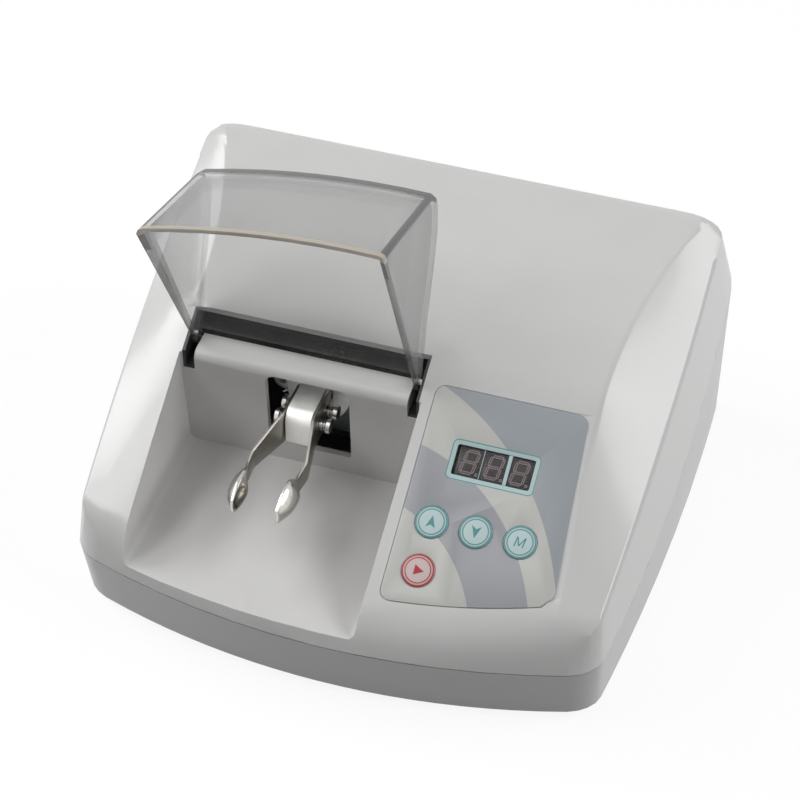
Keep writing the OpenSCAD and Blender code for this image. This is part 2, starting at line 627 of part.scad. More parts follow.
// Rocker: a block with a ring round the oblique bearing, nose up by the tilt
bear_or = 11;
bear_ir = 4;
bear_w = 7;
ring_r = 13;
block_h = 16;
block_round = 5;
block_half = block_w / 2;
nose_end = -bear_w / 2 - 1 - block_l;
module rocker_block() color("silver") on_rocker() difference() {
  union() {
    bar_y(ring_r, -bear_w / 2 - 1.5, bear_w / 2 + 0.5);
    translate([-block_half, 0, 0]) rotate([90, 0, 90]) linear_extrude(block_w) polygon(concat(
      [[-bear_w / 2 - 0.5, -block_h / 2], [-bear_w / 2 - 0.5, block_h / 2]],
      [for (a = [90:15:180]) [nose_end + block_round + block_round * cos(a),
        block_h / 2 - block_round + block_round * sin(a)]],
      [for (a = [180:30:270]) [nose_end + 2 + 2 * cos(a), 2 - block_h / 2 + 2 * sin(a)]]));
    for (sx = [-1, 1]) translate([sx * lug_x, 0, 0]) difference() {
      bar_y(lug_r, -2, 2, coarse);
      bar_y(1.5, -2.1, 2.1, coarse);
    }
  }
  bar_y(bear_or + 0.02, -bear_w / 2, bear_w);
  bar_y(bear_or - 2, -bear_w / 2 - 0.8, bear_w);
  bar_y(6, -bear_w / 2 - 4, 0);
  for (sx = [-1, 1], y = arm_screw_y) translate([0, y, 0])
    bar_x(1.5, sx > 0 ? 1.5 : -block_half - cut, sx > 0 ? block_half + cut : -1.5, coarse);
}
module bearing_outer_ring() color("lightsteelblue") on_rocker() difference() {
  bar_y(bear_or, -bear_w / 2 + 0.02, bear_w / 2);
  bar_y(bear_or - 1.9, -bear_w, bear_w);
}
module bearing_balls() color("silver") on_rocker() for (a = [0:360 / 7:359])
  rotate([0, a, 0]) translate([7.55, 0, 0]) sphere(r = 1.5, $fn = 24);
module bearing_inner_ring() color("lightsteelblue") on_rocker() difference() {
  bar_y(bear_ir + 2, -bear_w / 2, bear_w / 2);
  bar_y(bear_ir, -bear_w, bear_w);
}
hub_back = 8;
module oblique_hub() color("slategray") difference() {
  on_rocker() {
    bar_y(bear_ir - 0.02, -bear_w / 2 - 0.3, bear_w / 2 + 1);
    bar_y(bear_ir + 1.4, bear_w / 2 + 0.05, hub_back);
  }
  translate([mech_x, bearing_y, mech_z]) bar_y(shaft_r + 0.02, -10, 20);
}
motor_y0 = 17;
module motor_shaft() color("silver") translate([mech_x, 0, mech_z])
  bar_y(shaft_r, bearing_y - bear_w / 2 - 0.6, fan_y + 8);
fan_y = motor_y0 + motor_l + 5;
fan_r = 20;
module cooling_fan() color("black") translate([mech_x, fan_y, mech_z]) difference() {
  union() {
    bar_y(6, 0, 7, coarse);
    for (a = [0:360 / 7:359]) rotate([0, a, 0]) translate([4.5, 0.5, 0]) rotate([-32, 0, 0])
      translate([0, 0, -4]) cube([fan_r - 5, 1, 8]);
  }
  bar_y(shaft_r + 0.02, -1, 9, coarse);
}

// Fork arms: spring strips that flare, then close on two cups
arm_gap = 0.3;
arm_x = block_half + arm_gap + arm_t / 2;
arm_back = -8;
arm_screw_y = [-13.5, -22];
bend_y = nose_end - 20.5;
neck_y = bend_y - 9;
tip_y = nose_end - arm_l;
cup_x = arm_spread - 2;
cup_h = 13.5;
// Stations along an arm: place along Y, offset in X of its edges, half height, outward bulge of its middle
arm_path = [
  [arm_back, arm_x, arm_h / 2 - 2, 0], [arm_back - 2, arm_x, arm_h / 2, 0],
  [nose_end + 3, arm_x, arm_h / 2, 0], [nose_end, arm_x + 0.35, arm_h / 2 - 0.2, 0],
  [bend_y + 1.4, arm_spread - 0.25, arm_h / 2 - 3, 0], [bend_y, arm_spread, arm_h / 2 - 3.2, 0],
  [bend_y - 1.4, arm_spread - 0.05, arm_h / 2 - 3.3, 0], [neck_y, arm_spread - 0.7, arm_h / 2 - 3.7, 0],
  [neck_y - 1.2, arm_spread - 1.1, cup_h / 2 - 2.2, cup_depth * 0.2],
  [neck_y - 2.6, cup_x + 0.3, cup_h / 2 - 0.8, cup_depth * 0.65],
  [neck_y - 5, cup_x, cup_h / 2, cup_depth * 0.95],
  [neck_y - 8.5, cup_x, cup_h / 2 - 0.1, cup_depth],
  [neck_y - 12, cup_x, cup_h / 2 - 0.8, cup_depth * 0.9],
  [tip_y + 3.6, cup_x, cup_h / 2 - 1.9, cup_depth * 0.66],
  [tip_y + 1.4, cup_x, cup_h / 2 - 3, cup_depth * 0.3], [tip_y, cup_x, cup_h / 2 - 3.7, cup_depth * 0.06]];
function arm_ring(st) =
  let (y = st[0], x = st[1], h = st[2], d = st[3])
  concat(
    [for (i = [4:-1:-4]) [x + arm_t / 2 + d * (1 - pow(i / 4, 2)), y, h * i / 4]],
    [for (i = [-4:4]) [x - arm_t / 2 + d * (1 - pow(i / 4, 2)), y, (h - d * 0.08) * i / 4]]);
module fork_arm(side) on_rocker() mirror([side < 0 ? 1 : 0, 0, 0]) difference() {
  plain_loft([for (st = arm_path) arm_ring(st)], true);
  for (y = arm_screw_y) translate([0, y, 0]) bar_x(2.1, arm_x - 2, arm_x + 2, coarse);
}
module fork_arm_left() color("lightgray") fork_arm(-1);
module fork_arm_right() color("lightgray") fork_arm(1);
arm_head_x = arm_x + arm_t / 2 + 3.2;
module arm_screws() color("silver") on_rocker() for (sx = [-1, 1], y = arm_screw_y)
  translate([sx * arm_head_x, y, 0]) rotate([0, sx * 90, 0]) screw(2.9, 1.6, 1.48, arm_head_x - 2);
module arm_springs(side) on_rocker() for (y = arm_screw_y)
  translate([side * (arm_x + arm_t / 2 + 0.1), y, 0]) rotate([0, side * 90, 0]) coil(2.25, 0.3, 3, 2);
module arm_springs_left() color("gray") arm_springs(-1);
module arm_springs_right() color("gray") arm_springs(1);

// Motor, its cradle on rubber mounts, strap and steadying springs
lug_r = 3.6;
lug_x = ring_r + lug_r - 0.4;
spring_foot_z = cradle_z + 3;
module motor_body() color("darkgray") translate([mech_x, 0, mech_z]) difference() {
  union() {
    bar_y(motor_r, motor_y0, motor_y0 + motor_l);
    bar_y(8, motor_y0 - 4, motor_y0 + 1);
    bar_y(9, motor_y0 + motor_l - 1, motor_y0 + motor_l + 3);
  }
  bar_y(shaft_r + run_gap, motor_y0 - 10, motor_y0 + motor_l + 10);
  for (a = [30:60:330]) rotate([0, a, 0]) translate([motor_r - 6, 0, 0]) bar_y(3, motor_y0 - 1, motor_y0 + 5, coarse);
}
cradle_y = [22, 60];
cradle_wall = 5;
module motor_cradle() color("lightslategray") difference() {
  union() {
    box([mech_x - 34, 13, cradle_z], [mech_x + 34, 70, cradle_z + 3]);
    for (y = cradle_y) box([mech_x - 22, y, cradle_z + 2], [mech_x + 22, y + cradle_wall, mech_z - 12]);
    for (sx = [-1, 1]) {
      box([mech_x + sx * 32 - 4, 38, cradle_z + 2], [mech_x + sx * 32 + 4, 50, cradle_z + 12]);
      box([mech_x + sx * lug_x - 4, -1, cradle_z], [mech_x + sx * lug_x + 4, 14, cradle_z + 3]);
    }
  }
  translate([mech_x, 0, mech_z]) bar_y(motor_r + 0.02, 0, 90);
  for (sx = [-1, 1]) {
    translate([mech_x + sx * 32, 44, cradle_z - cut]) cylinder(r = 1.6, h = 20, $fn = coarse);
    for (y = mount_y) translate([mech_x + sx * mount_dx, y, cradle_z - cut])
      cylinder(r = 2.02, h = 10, $fn = coarse);
  }
}
strap_t = 1.2;
strap_top = 12;
module motor_strap() color("silver") difference() {
  union() {
    translate([mech_x, 0, mech_z]) bar_y(motor_r + 0.05 + strap_t, 40, 48);
    for (sx = [-1, 1]) {
      box([mech_x + (sx > 0 ? motor_r : -36), 40, cradle_z + strap_top],
        [mech_x + (sx > 0 ? 36 : -motor_r), 48, cradle_z + strap_top + strap_t]);
      box([mech_x + (sx > 0 ? motor_r + 0.05 : -motor_r - 0.05 - strap_t), 40, cradle_z + strap_top],
        [mech_x + (sx > 0 ? motor_r + 0.05 + strap_t : -motor_r - 0.05), 48, mech_z]);
    }
  }
  translate([mech_x, 0, mech_z]) bar_y(motor_r + 0.05, 30, 60);
  box([mech_x - motor_r - 0.05, 39, 0], [mech_x + motor_r + 0.05, 49, mech_z]);
  for (sx = [-1, 1]) translate([mech_x + sx * 32, 44, cradle_z]) cylinder(r = 1.8, h = 30, $fn = coarse);
}
module strap_screws() color("silver") for (sx = [-1, 1])
  translate([mech_x + sx * 32, 44, cradle_z + strap_top + strap_t]) screw(3, 2, 1.58, 11);
module rubber_mounts() color("black") for (sx = [-1, 1], y = mount_y)
  translate([mech_x + sx * mount_dx, y, tray_z + mount_post_h]) {
    rotate_extrude($fn = fine) polygon([[0, 0], [6, 0], [6, 2], [4.6, (cradle_z - tray_z - mount_post_h) / 2],
      [6, cradle_z - tray_z - mount_post_h - 2], [6, cradle_z - tray_z - mount_post_h],
      [2, cradle_z - tray_z - mount_post_h], [2, cradle_z - tray_z - mount_post_h + 5], [0, cradle_z - tray_z - mount_post_h + 5]]);
  }
steady_h = mech_z - lug_r - 0.4 - spring_foot_z;
module steady_springs() color("gray") for (sx = [-1, 1])
  translate([mech_x + sx * lug_x, bearing_y, spring_foot_z]) coil(2.2, 0.45, steady_h, 6);

// Boards and transformer
control_z = 14;
control_x = 15;
control_w = 73;
control_d = 52;
control_y = y_back - 9.2 - control_d;
control_posts = [for (x = [control_x + 5, control_x + control_w - 6], y = [control_y + 4, control_y + control_d - 4])
  [x, y]];
module control_board() color("darkgreen") difference() {
  union() {
    translate([control_x, control_y, control_z]) cube([control_w, control_d, board_t]);
    translate([control_x, control_y, control_z + board_t - 0.2]) {
      for (x = [12, 21, 30]) translate([x, 44, 0]) cylinder(r = 3.6, h = 12, $fn = coarse);
      translate([37, 38, 0]) cube([26, 10, 11.6]);
      translate([7, 22, 0]) cube([18, 10, 7.6]);
    }
  }
  for (p = control_posts) translate([p[0], p[1], control_z - cut])
    cylinder(r = 1.4, h = board_t + 2 * cut, $fn = coarse);
}
module board_heatsink() color("gray") translate([control_x + 35, control_y + 6, control_z + board_t]) difference() {
  cube([28, 22, 16]);
  for (i = [0:4]) translate([2.4 + 5 * i, -cut, 4]) cube([3.4, 22 + 2 * cut, 16]);
}
module transformer() color("darkslategray") translate([30, -66, tray_z]) {
  difference() {
    cube([46, 38, 20]);
    for (y = [6, 25]) translate([8, y, -cut]) cube([30, 7, 22]);
  }
}

// Back panel: mains inlet with its fuse drawer, and the power switch
inlet_screw_dx = 20;
inlet_hole_r = 1.6;
inlet_head_r = 3;
inlet_head_h = 1.5;
inlet_depth = 22;
flange_t = 2;
module back_frame(x, z) {
  translate([x, y_back - flange_t, z]) rotate([90, 0, 180]) children();
}
module power_inlet() color("black") back_frame(inlet_x, inlet_z) difference() {
  union() {
    translate([0, 0, -inlet_depth]) plate(inlet_w, inlet_h, inlet_depth + flange_t - 0.2, 2);
    translate([0, 0, -0.02 - wall]) plate(2 * inlet_screw_dx + 9, inlet_h + 4, flange_t, 4);
  }
  for (sx = [-1, 1]) translate([sx * inlet_screw_dx, 0, -wall - 1]) cylinder(r = inlet_hole_r, h = 4, $fn = coarse);
  translate([0, 2.5, -15]) plate(inlet_w - 7, inlet_h - 9, 40, 2.5);
  translate([0, -inlet_h / 2 + 2.6, -15]) plate(18, 3, 40, 0.4);
}
module fuse_drawer() color("dimgray") back_frame(inlet_x, inlet_z)
  translate([0, -inlet_h / 2 + 2.6, -14.8]) plate(17.6, 2.6, 14.8 + flange_t - 0.6, 0.3);
module switch_frame() color("black") back_frame(switch_x, switch_z) difference() {
  translate([0, 0, -18]) plate(switch_w, inlet_h, 18 + flange_t - 0.2, 1);
  translate([0, 0, -9]) plate(switch_w - 4, inlet_h - 4, 40, 0.6);
  translate([0, 0, -4]) bar_x(1.25, -switch_w, switch_w, coarse);
}
module switch_rocker() color("dimgray") back_frame(switch_x, switch_z) translate([0, 0, -4]) {
  rotate([switch_throw / 2, 0, 0]) rotate([90, 0, 90]) translate([0, 0, -switch_w / 2 + 2.4])
    linear_extrude(switch_w - 4.8)
      polygon([[-6.6, 1.5], [-3.5, -2.5], [3.5, -2.5], [6.6, 1.5], [6.6, 4.2], [0, 3], [-6.6, 4.2]]);
  bar_x(1.2, -switch_w / 2 + 0.6, switch_w / 2 - 0.6, coarse);
}
module inlet_screws() color("silver") for (sx = [-1, 1])
  translate([inlet_x + sx * inlet_screw_dx, y_back - inlet_head_h - 0.1, inlet_z]) rotate([-90, 0, 0])
    screw(inlet_head_r, inlet_head_h, inlet_hole_r - 0.05, 8);

upper_housing();
lower_base();
rubber_feet();
housing_screws();
lid();
lid_hinge_pins();
hinge_brackets();
slot_baffle();
control_overlay();
display_window();
digit_module();
display_board();
board_screws();
key_up();
key_down();
key_mode();
key_start();
key_switches();
rocker_block();
bearing_outer_ring();
bearing_balls();
bearing_inner_ring();
oblique_hub();
motor_shaft();
cooling_fan();
fork_arm_left();
fork_arm_right();
arm_screws();
arm_springs_left();
arm_springs_right();
steady_springs();
motor_body();
motor_cradle();
motor_strap();
strap_screws();
rubber_mounts();
control_board();
board_heatsink();
transformer();
power_inlet();
fuse_drawer();
switch_frame();
switch_rocker();
inlet_screws();
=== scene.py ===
"""Dental amalgamator: the looks of a bench machine that shakes a mixing capsule in a spring fork.

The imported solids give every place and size. Each operator dresses one piece or one group of like pieces.
"""
import math
import bpy
from mathutils import Matrix, Vector


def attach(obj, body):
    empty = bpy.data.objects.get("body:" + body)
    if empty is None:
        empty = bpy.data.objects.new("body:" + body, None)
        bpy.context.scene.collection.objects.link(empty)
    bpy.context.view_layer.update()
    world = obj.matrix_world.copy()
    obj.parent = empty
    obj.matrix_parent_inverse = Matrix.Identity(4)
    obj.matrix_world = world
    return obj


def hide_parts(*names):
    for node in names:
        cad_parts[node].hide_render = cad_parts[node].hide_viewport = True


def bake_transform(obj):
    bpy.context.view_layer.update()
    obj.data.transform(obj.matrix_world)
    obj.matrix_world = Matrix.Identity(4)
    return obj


bl_info = {
    "name": "Dental amalgamator",
    "version": (1, 0, 0),
    "blender": (4, 5, 0),
    "location": "3D View > Sidebar > Amalgamator",
    "description": "Builds a bench capsule mixer with a clear lid, a spring fork and a membrane panel",
    "category": "Object",
}

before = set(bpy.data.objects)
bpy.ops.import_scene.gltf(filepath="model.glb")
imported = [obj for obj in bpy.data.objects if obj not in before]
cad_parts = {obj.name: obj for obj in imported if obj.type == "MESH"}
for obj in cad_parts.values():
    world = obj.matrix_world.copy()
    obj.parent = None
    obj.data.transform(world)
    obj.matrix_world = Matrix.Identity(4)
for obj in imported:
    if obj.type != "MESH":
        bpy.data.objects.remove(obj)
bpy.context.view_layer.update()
MM = 0.001
WELD = 4e-6
PANEL_SLOPE = math.radians(29)
PANEL_FOOT = Vector((0.0, -0.0855, 0.0466))

# The housing's lines in millimetres, with the ridges' reach and the welds in metres: the turn from slope
# to flat top, the ridges above the side walls and the waisted creases
TURN_Y = -0.8
TURN_Z = 93.55
TURN_HALF = 6.0
TOP_RISE = 0.24341
RIDGE_FRONT_Y = -79.5
RIDGE_FRONT_Z = 48.1
RIDGE_RUN = 166.0
RIDGE_RISE = 60.8
RIDGE_MATCH = 0.4
RIDGE_LEAST_X = 0.095
RIDGE_LAST_Y = 0.079
CREASE_BAND = (-4.2, 8.0)
CREASE_MATCH = (0.35, 0.4)
CREASE_FOOT_Z = 47.0
CREASE_INNER = (1.1, 0.02)
CREASE_SHRINK = 0.25
CREASE_DROP = 0.11
WAIST_X = 83.5
WAIST_Y = 4.2
WAIST_SPAN = 81.0
WAIST_FRONT = 5.5
WAIST_BACK = 19.0
LEDGE_BACK_Y = 2.0
BORE_BREAK = Vector((-86.3, -8.9, 86.35))
BORE_ZONE = ((-86.65, -85.9), (-9.75, -7.9), (85.75, 90.0))
BORE_WELD = 1e-6

# The lid's hinge, sides and front arc in metres, then its bends and edges in the closed lid's millimetres
HINGE = Vector((-0.0336, -0.0083, 0.085))
LID_OPEN = math.radians(97)
LID_SIDES = (-0.0804, 0.0132)
FRONT_ARC_Y = 0.2176
FRONT_ARC_RADIUS = 0.3188
FRONT_BEND_DEPTH = 14.8
FRONT_BEND_Z = 98.0
FRONT_BEND_LEAN = (0.76, 0.65)
SIDE_EDGE_Y = -99.5
SIDE_EDGE_Z = 35.8
SIDE_EDGE_RISE = 0.513
LID_FOOT_Z = 38.7

# The panel in its own millimetres, across, up and out of the slope
KEY_PLACES = {
    "key_up": (32.9, 33.0),
    "key_down": (50.2, 33.0),
    "key_mode": (67.5, 33.0),
    "key_start": (32.9, 13.8),
}
KEY_RINGS = ((5.95, 0.32), (4.85, 0.22))
KEY_MARK_OUT = 0.79
FILM_CENTRE = (6.0, -22.0)
FILM_ARCS = (54.0, 76.0, 101.0)
FILM_SQUASH = 0.8
FILM_LEAN = 0.18
DISPLAY_PLACE = (50.1, 58.8)
DISPLAY_HALF = (17.3, 8.0)
DISPLAY_CORNER = 2.2
DIGIT_PLACES = (-9.3, 0.4, 10.3)
DIGIT_OUT = -0.3
BAR_OUT = 0.2

# The panel's thin parts, in metres
DIGIT_LEAN = math.radians(8)
MARK_DEPTH = 0.00006
SEGMENT_GAP = 0.00035
SEGMENT_RIM = 0.00016
SEGMENT_DEPTH = 0.00008
POINT_RADIUS = 0.0006
POINT_AWAY = 0.0011
BAR_PLACES = ((0.0056, 0.0007), (-0.0045, 0.00012))
BAR_HALF_HEIGHT = 0.0059
BAR_DEPTH = 0.0001
PANE_SHIFT = 0.0024
DIGIT_FACE_SHIFT = 0.00235

# The fork, its small springs and the mains inlet, in metres
CUP_START = -0.0565
COIL_ENDS = {"left": (-0.04105, -0.03835), "right": (-0.02195, -0.02465)}
INLET_X = -0.066
INLET_Z = 0.0365
BLADE_PLACES = ((-0.007, -0.001), (0.007, -0.001), (0.0, 0.0012))
BLADE_HALF = (0.001, 0.0021)
BLADE_ENDS = (0.084, 0.0975)

# The stage: the camera's axes and place, and each lamp's place, width, height and power
CAMERA_RIGHT = Vector((0.9493, 0.3139, -0.0164))
CAMERA_UP = Vector((-0.2112, 0.6756, 0.7062))
CAMERA_BACK = Vector((0.2328, -0.6670, 0.7077))
CAMERA_PLACE = Vector((0.2293, -0.6523, 0.7561))
CAMERA_LENS = 111.96
LAMP_TARGET = Vector((0, 0, 0.05))
LAMPS = {
    "top_light": ((-0.3, -0.1, 1.5), 1.0, 1.0, 3.0),
    "right_light": ((1.1, 0.15, 0.95), 1.2, 0.5, 11.0),
    "left_light": ((-0.9, -0.4, 1.15), 0.6, 0.6, 5.2),
    "low_left_light": ((-1.2, 0.2, 0.8), 0.6, 0.6, 8.6),
}
SKY_LIGHT = 0.04
FLOOR_SIZE = 30
FLOOR_GAP = 0.0002

# Scales of a metal's grain along X, Y and Z, and fixed tints
STRIP_GRAIN = (400.0, 25.0, 1400.0)
BLOCK_GRAIN = (60.0, 2600.0, 2600.0)
RING_GRAIN = (2000.0, 90.0, 2000.0)
CAN_GRAIN = (900.0, 90.0, 900.0)
DUST = (0.62, 0.6, 0.57, 1)
# Painted shade: the dark grey of the clear lid's bends and free edges
LID_BEND_PAINTED_SHADE = (0.11, 0.11, 0.108, 1)
LID_FOOT_TINT = (0.54, 0.475, 0.39, 1)


# Selection and edit mode

def deselect_all():
    """Leaves edit mode and deselects every object."""
    if bpy.context.object and bpy.context.object.mode != "OBJECT":
        bpy.ops.object.mode_set(mode="OBJECT")
    bpy.ops.object.select_all(action="DESELECT")


def only(piece):
    """Makes piece the one selected and active object."""
    deselect_all()
    piece.select_set(True)
    bpy.context.view_layer.objects.active = piece


def pick(piece, kind="FACE", test=None):
    """Enters edit mode with what passes the test selected.

    The test is given a face's centre and normal, an edge's two ends or a point's place.
    """
    only(piece)
    bpy.ops.object.mode_set(mode="EDIT")
    bpy.ops.mesh.select_mode(type=kind)
    bpy.ops.mesh.select_all(action="SELECT" if test is None else "DESELECT")
    if test is None:
        return
    bpy.ops.object.mode_set(mode="OBJECT")
    mesh = piece.data
    if kind == "FACE":
        for face in mesh.polygons:
            face.select = bool(test(face.center, face.normal))
    elif kind == "EDGE":
        for edge in mesh.edges:
            edge.select = bool(test(*(mesh.vertices[index].co for index in edge.vertices)))
    else:
        for point in mesh.vertices:
            point.select = bool(test(point.co))
    bpy.ops.object.mode_set(mode="EDIT")


def leave():
    """Goes back to object mode."""
    bpy.ops.object.mode_set(mode="OBJECT")


def modify(piece, kind, **settings):
    """Adds a modifier with these settings and applies it."""
    only(piece)
    modifier = piece.modifiers.new(kind.lower(), kind)
    for name, value in settings.items():
        setattr(modifier, name, value)
    bpy.ops.object.modifier_apply(modifier=modifier.name)


def round_edges(piece, width, segments=2, angle=30):
    """Rounds the edges that are sharper than the angle."""
    modify(piece, "BEVEL", width=width, segments=segments, limit_method="ANGLE",
           angle_limit=math.radians(angle), use_clamp_overlap=True, miter_outer="MITER_ARC")


def smooth(piece, angle=35):
    """Shades the piece smooth, apart from edges sharper than the angle."""
    only(piece)
    bpy.ops.object.shade_smooth_by_angle(angle=math.radians(angle))


def soften(piece, width, segments=2, angle=30, shading=35):
    """Rounds the sharp edges and shades the rest smooth."""
    round_edges(piece, width, segments, angle)
    smooth(piece, shading)


def settle(piece):
    """Puts the object's place, turn and size into its mesh."""
    only(piece)
    bpy.ops.object.transform_apply(location=True, rotation=True, scale=True)


def join(pieces, name):
    """Joins several pieces into the first one."""
    deselect_all()
    for piece in pieces:
        piece.select_set(True)
    bpy.context.view_layer.objects.active = pieces[0]
    bpy.ops.object.join()
    pieces[0].name = name
    return pieces[0]


def cad_copy(node, name, tidy=0.3):
    """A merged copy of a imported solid, with its flat triangles made whole faces."""
    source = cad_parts[node]
    piece = source.copy()
    piece.data = source.data.copy()
    piece.parent = None
    piece.name = name
    for key in list(piece.keys()):
        if key.startswith("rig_"):
            del piece[key]
    bpy.context.scene.collection.objects.link(piece)
    only(piece)
    if piece.data.has_custom_normals:
        bpy.ops.mesh.customdata_custom_splitnormals_clear()
    pick(piece)
    bpy.ops.mesh.remove_doubles(threshold=WELD)
    if tidy:
        bpy.ops.mesh.dissolve_limited(angle_limit=math.radians(tidy))
    leave()
    return piece


def add_box(name, low, high):
    """A box by its two corners, in metres."""
    deselect_all()
    low, high = Vector(low), Vector(high)
    bpy.ops.mesh.primitive_cube_add(size=1, location=(low + high) / 2)
    piece = bpy.context.object
    piece.scale = high - low
    piece.name = name
    settle(piece)
    return piece


def flat_outline(name, points, depth):
    """A thin plate on z = 0 to depth, from a closed outline of (x, y) in metres."""
    deselect_all()
    bpy.ops.mesh.primitive_circle_add(vertices=len(points), fill_type="NGON", radius=1)
    piece = bpy.context.object
    piece.name = name
    for point, (x, y) in zip(piece.data.vertices, points):
        point.co = (x, y, 0)
    pick(piece)
    bpy.ops.mesh.normals_make_consistent(inside=False)
    bpy.ops.mesh.extrude_region_move(TRANSFORM_OT_translate={"value": (0, 0, depth)})
    bpy.ops.mesh.select_all(action="SELECT")
    bpy.ops.mesh.normals_make_consistent(inside=False)
    leave()
    return piece


def panel_matrix(x, along, out=0.0):
    """The turn and place of a spot on the slope, from panel millimetres."""
    turn = Matrix.Rotation(PANEL_SLOPE, 4, "X")
    spot = PANEL_FOOT + turn.to_3x3() @ Vector((x, along, out)) * MM
    return Matrix.Translation(spot) @ turn


def place_on(piece, matrix):
    """Moves the piece's mesh by the matrix."""
    piece.matrix_world = matrix @ piece.matrix_world
    bpy.context.view_layer.update()
    settle(piece)


def draw_out(piece, distance, test):
    """Moves the points that pass the test out of the slope; the test is given their millimetres above it."""
    matrix = panel_matrix(0, 0)
    pick(piece, "VERT", lambda p: test((matrix.inverted() @ p).z / MM))
    bpy.ops.transform.translate(value=(matrix.to_3x3() @ Vector((0, 0, distance))))
    leave()


def paint_picked(piece, index):
    """Gives the selected faces the piece's material of that number."""
    piece.active_material_index = index
    bpy.ops.object.material_slot_assign()
    leave()


def dress(piece, body, slot, material, *nodes):
    """Gives a piece its material and its body, and hides the imported solids that it stands for; the slot is
    not used.
    """
    piece.data.materials.clear()
    piece.data.materials.append(material)
    wear(piece, body, slot, *nodes)


def wear(piece, body, slot, *nodes):
    """As dress, with the materials kept."""
    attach(piece, body)
    if nodes:
        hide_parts(*nodes)


def paint_node(node, material):
    """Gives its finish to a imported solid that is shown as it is."""
    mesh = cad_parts[node].data
    mesh.materials.clear()
    mesh.materials.append(material)


# Shader nodes

def put(tree, kind, values=None, **settings):
    """A node with its settings; values maps an input's name or number to a number, a colour or an output."""
    node = tree.nodes.new(kind)
    for name, value in settings.items():
        setattr(node, name, value)
    for key, value in (values or {}).items():
        socket = node.inputs[key]
        if isinstance(value, bpy.types.NodeSocket):
            tree.links.new(value, socket)
        else:
            socket.default_value = value
    return node


def calc(tree, operation, a, b=0.0):
    """The result of a Math node."""
    return put(tree, "ShaderNodeMath", {0: a, 1: b}, operation=operation).outputs[0]


def plus(tree, a, b):
    """The sum of two values."""
    return calc(tree, "ADD", a, b)


def minus(tree, a, b):
    """The first value less the second."""
    return calc(tree, "SUBTRACT", a, b)


def times(tree, a, b):
    """The product of two values."""
    return calc(tree, "MULTIPLY", a, b)


def most(tree, first, *others):
    """The largest of several values."""
    for other in others:
        first = calc(tree, "MAXIMUM", first, other)
    return first


def length_of(tree, a, b):
    """How far the point (a, b) lies from (0, 0)."""
    return calc(tree, "SQRT", plus(tree, times(tree, a, a), times(tree, b, b)))


def ramp(tree, value, low, high, to_low=0.0, to_high=1.0):
    """A value mapped smoothly from one range to another."""
    ranges = {0: value, 1: low, 2: high, 3: to_low, 4: to_high}
    return put(tree, "ShaderNodeMapRange", ranges, interpolation_type="SMOOTHSTEP").outputs[0]


def ring(tree, reach, radius, half, soft=0.04):
    """A mask of a thin printed line at a radius."""
    return ramp(tree, calc(tree, "ABSOLUTE", minus(tree, reach, radius)), half + soft, half - soft)


def blend(tree, mask, a, b):
    """Colour a where the mask is 0 and b where it is 1."""
    return put(tree, "ShaderNodeMix", {0: mask, 6: a, 7: b}, data_type="RGBA").outputs[2]


def rgb(colour):
    """A colour of a property as the four numbers that a socket takes."""
    return (colour[0], colour[1], colour[2], 1.0)


def shade(colour, factor):
    """A lighter or darker colour."""
    return tuple(min(1.0, part * factor) for part in colour[:3]) + (1.0,)


def node_group(name, inputs, outputs):
    """A new node group of float sockets; gives its tree, its inputs and its output node."""
    tree = bpy.data.node_groups.new(name, "ShaderNodeTree")
    for label, value in inputs.items():
        socket = tree.interface.new_socket(name=label, in_out="INPUT", socket_type="NodeSocketFloat")
        socket.default_value = value
    for label in outputs:
        tree.interface.new_socket(name=label, in_out="OUTPUT", socket_type="NodeSocketFloat")
    return tree, tree.nodes.new("NodeGroupInput").outputs, tree.nodes.new("NodeGroupOutput")


def noise(tree, place, scale, detail):
    """A noise pattern."""
    return put(tree, "ShaderNodeTexNoise", {"Vector": place, "Scale": scale, "Detail": detail}).outputs[0]


def moulded_skin():
    """Fine grain and slow swells of a moulded or painted surface: roughness, height and tone."""
    tree, given, out = node_group(
        "Moulded skin", {"Grain scale": 1800.0, "Roughness": 0.3, "Spread": 0.06},
        ("Roughness", "Height", "Tone"))
    place = put(tree, "ShaderNodeTexCoord").outputs["Object"]
    grain = noise(tree, place, given["Grain scale"], 3.0)
    swell = noise(tree, place, 38.0, 4.0)
    wander = times(tree, minus(tree, swell, 0.5), given["Spread"])
    tree.links.new(plus(tree, given["Roughness"], times(tree, wander, 2.0)), out.inputs[0])
    tree.links.new(plus(tree, times(tree, grain, 0.35), swell), out.inputs[1])
    tree.links.new(ramp(tree, swell, 0.3, 0.7), out.inputs[2])
    return tree


def brushed_grain():
    """Fine parallel scratches along one direction of the object."""
    tree, given, out = node_group(
        "Brushed grain",
        {"Across X": 3000.0, "Across Y": 60.0, "Across Z": 3000.0, "Roughness": 0.3, "Spread": 0.2},
        ("Roughness", "Height", "Tone"))
    place = put(tree, "ShaderNodeTexCoord").outputs["Object"]
    across = put(tree, "ShaderNodeCombineXYZ", {0: given[0], 1: given[1], 2: given[2]}).outputs[0]
    stretched = put(tree, "ShaderNodeVectorMath", {0: place, 1: across}, operation="MULTIPLY").outputs[0]
    grain = noise(tree, stretched, 1.0, 5.0)
    smear = noise(tree, place, 160.0, 3.0)
    wander = times(tree, minus(tree, grain, 0.5), given["Spread"])
    soft = times(tree, minus(tree, smear, 0.5), 0.12)
    rough = plus(tree, plus(tree, given["Roughness"], wander), soft)
    tree.links.new(most(tree, rough, 0.04), out.inputs[0])
    tree.links.new(grain, out.inputs[1])
    tree.links.new(ramp(tree, smear, 0.3, 0.7), out.inputs[2])
    return tree


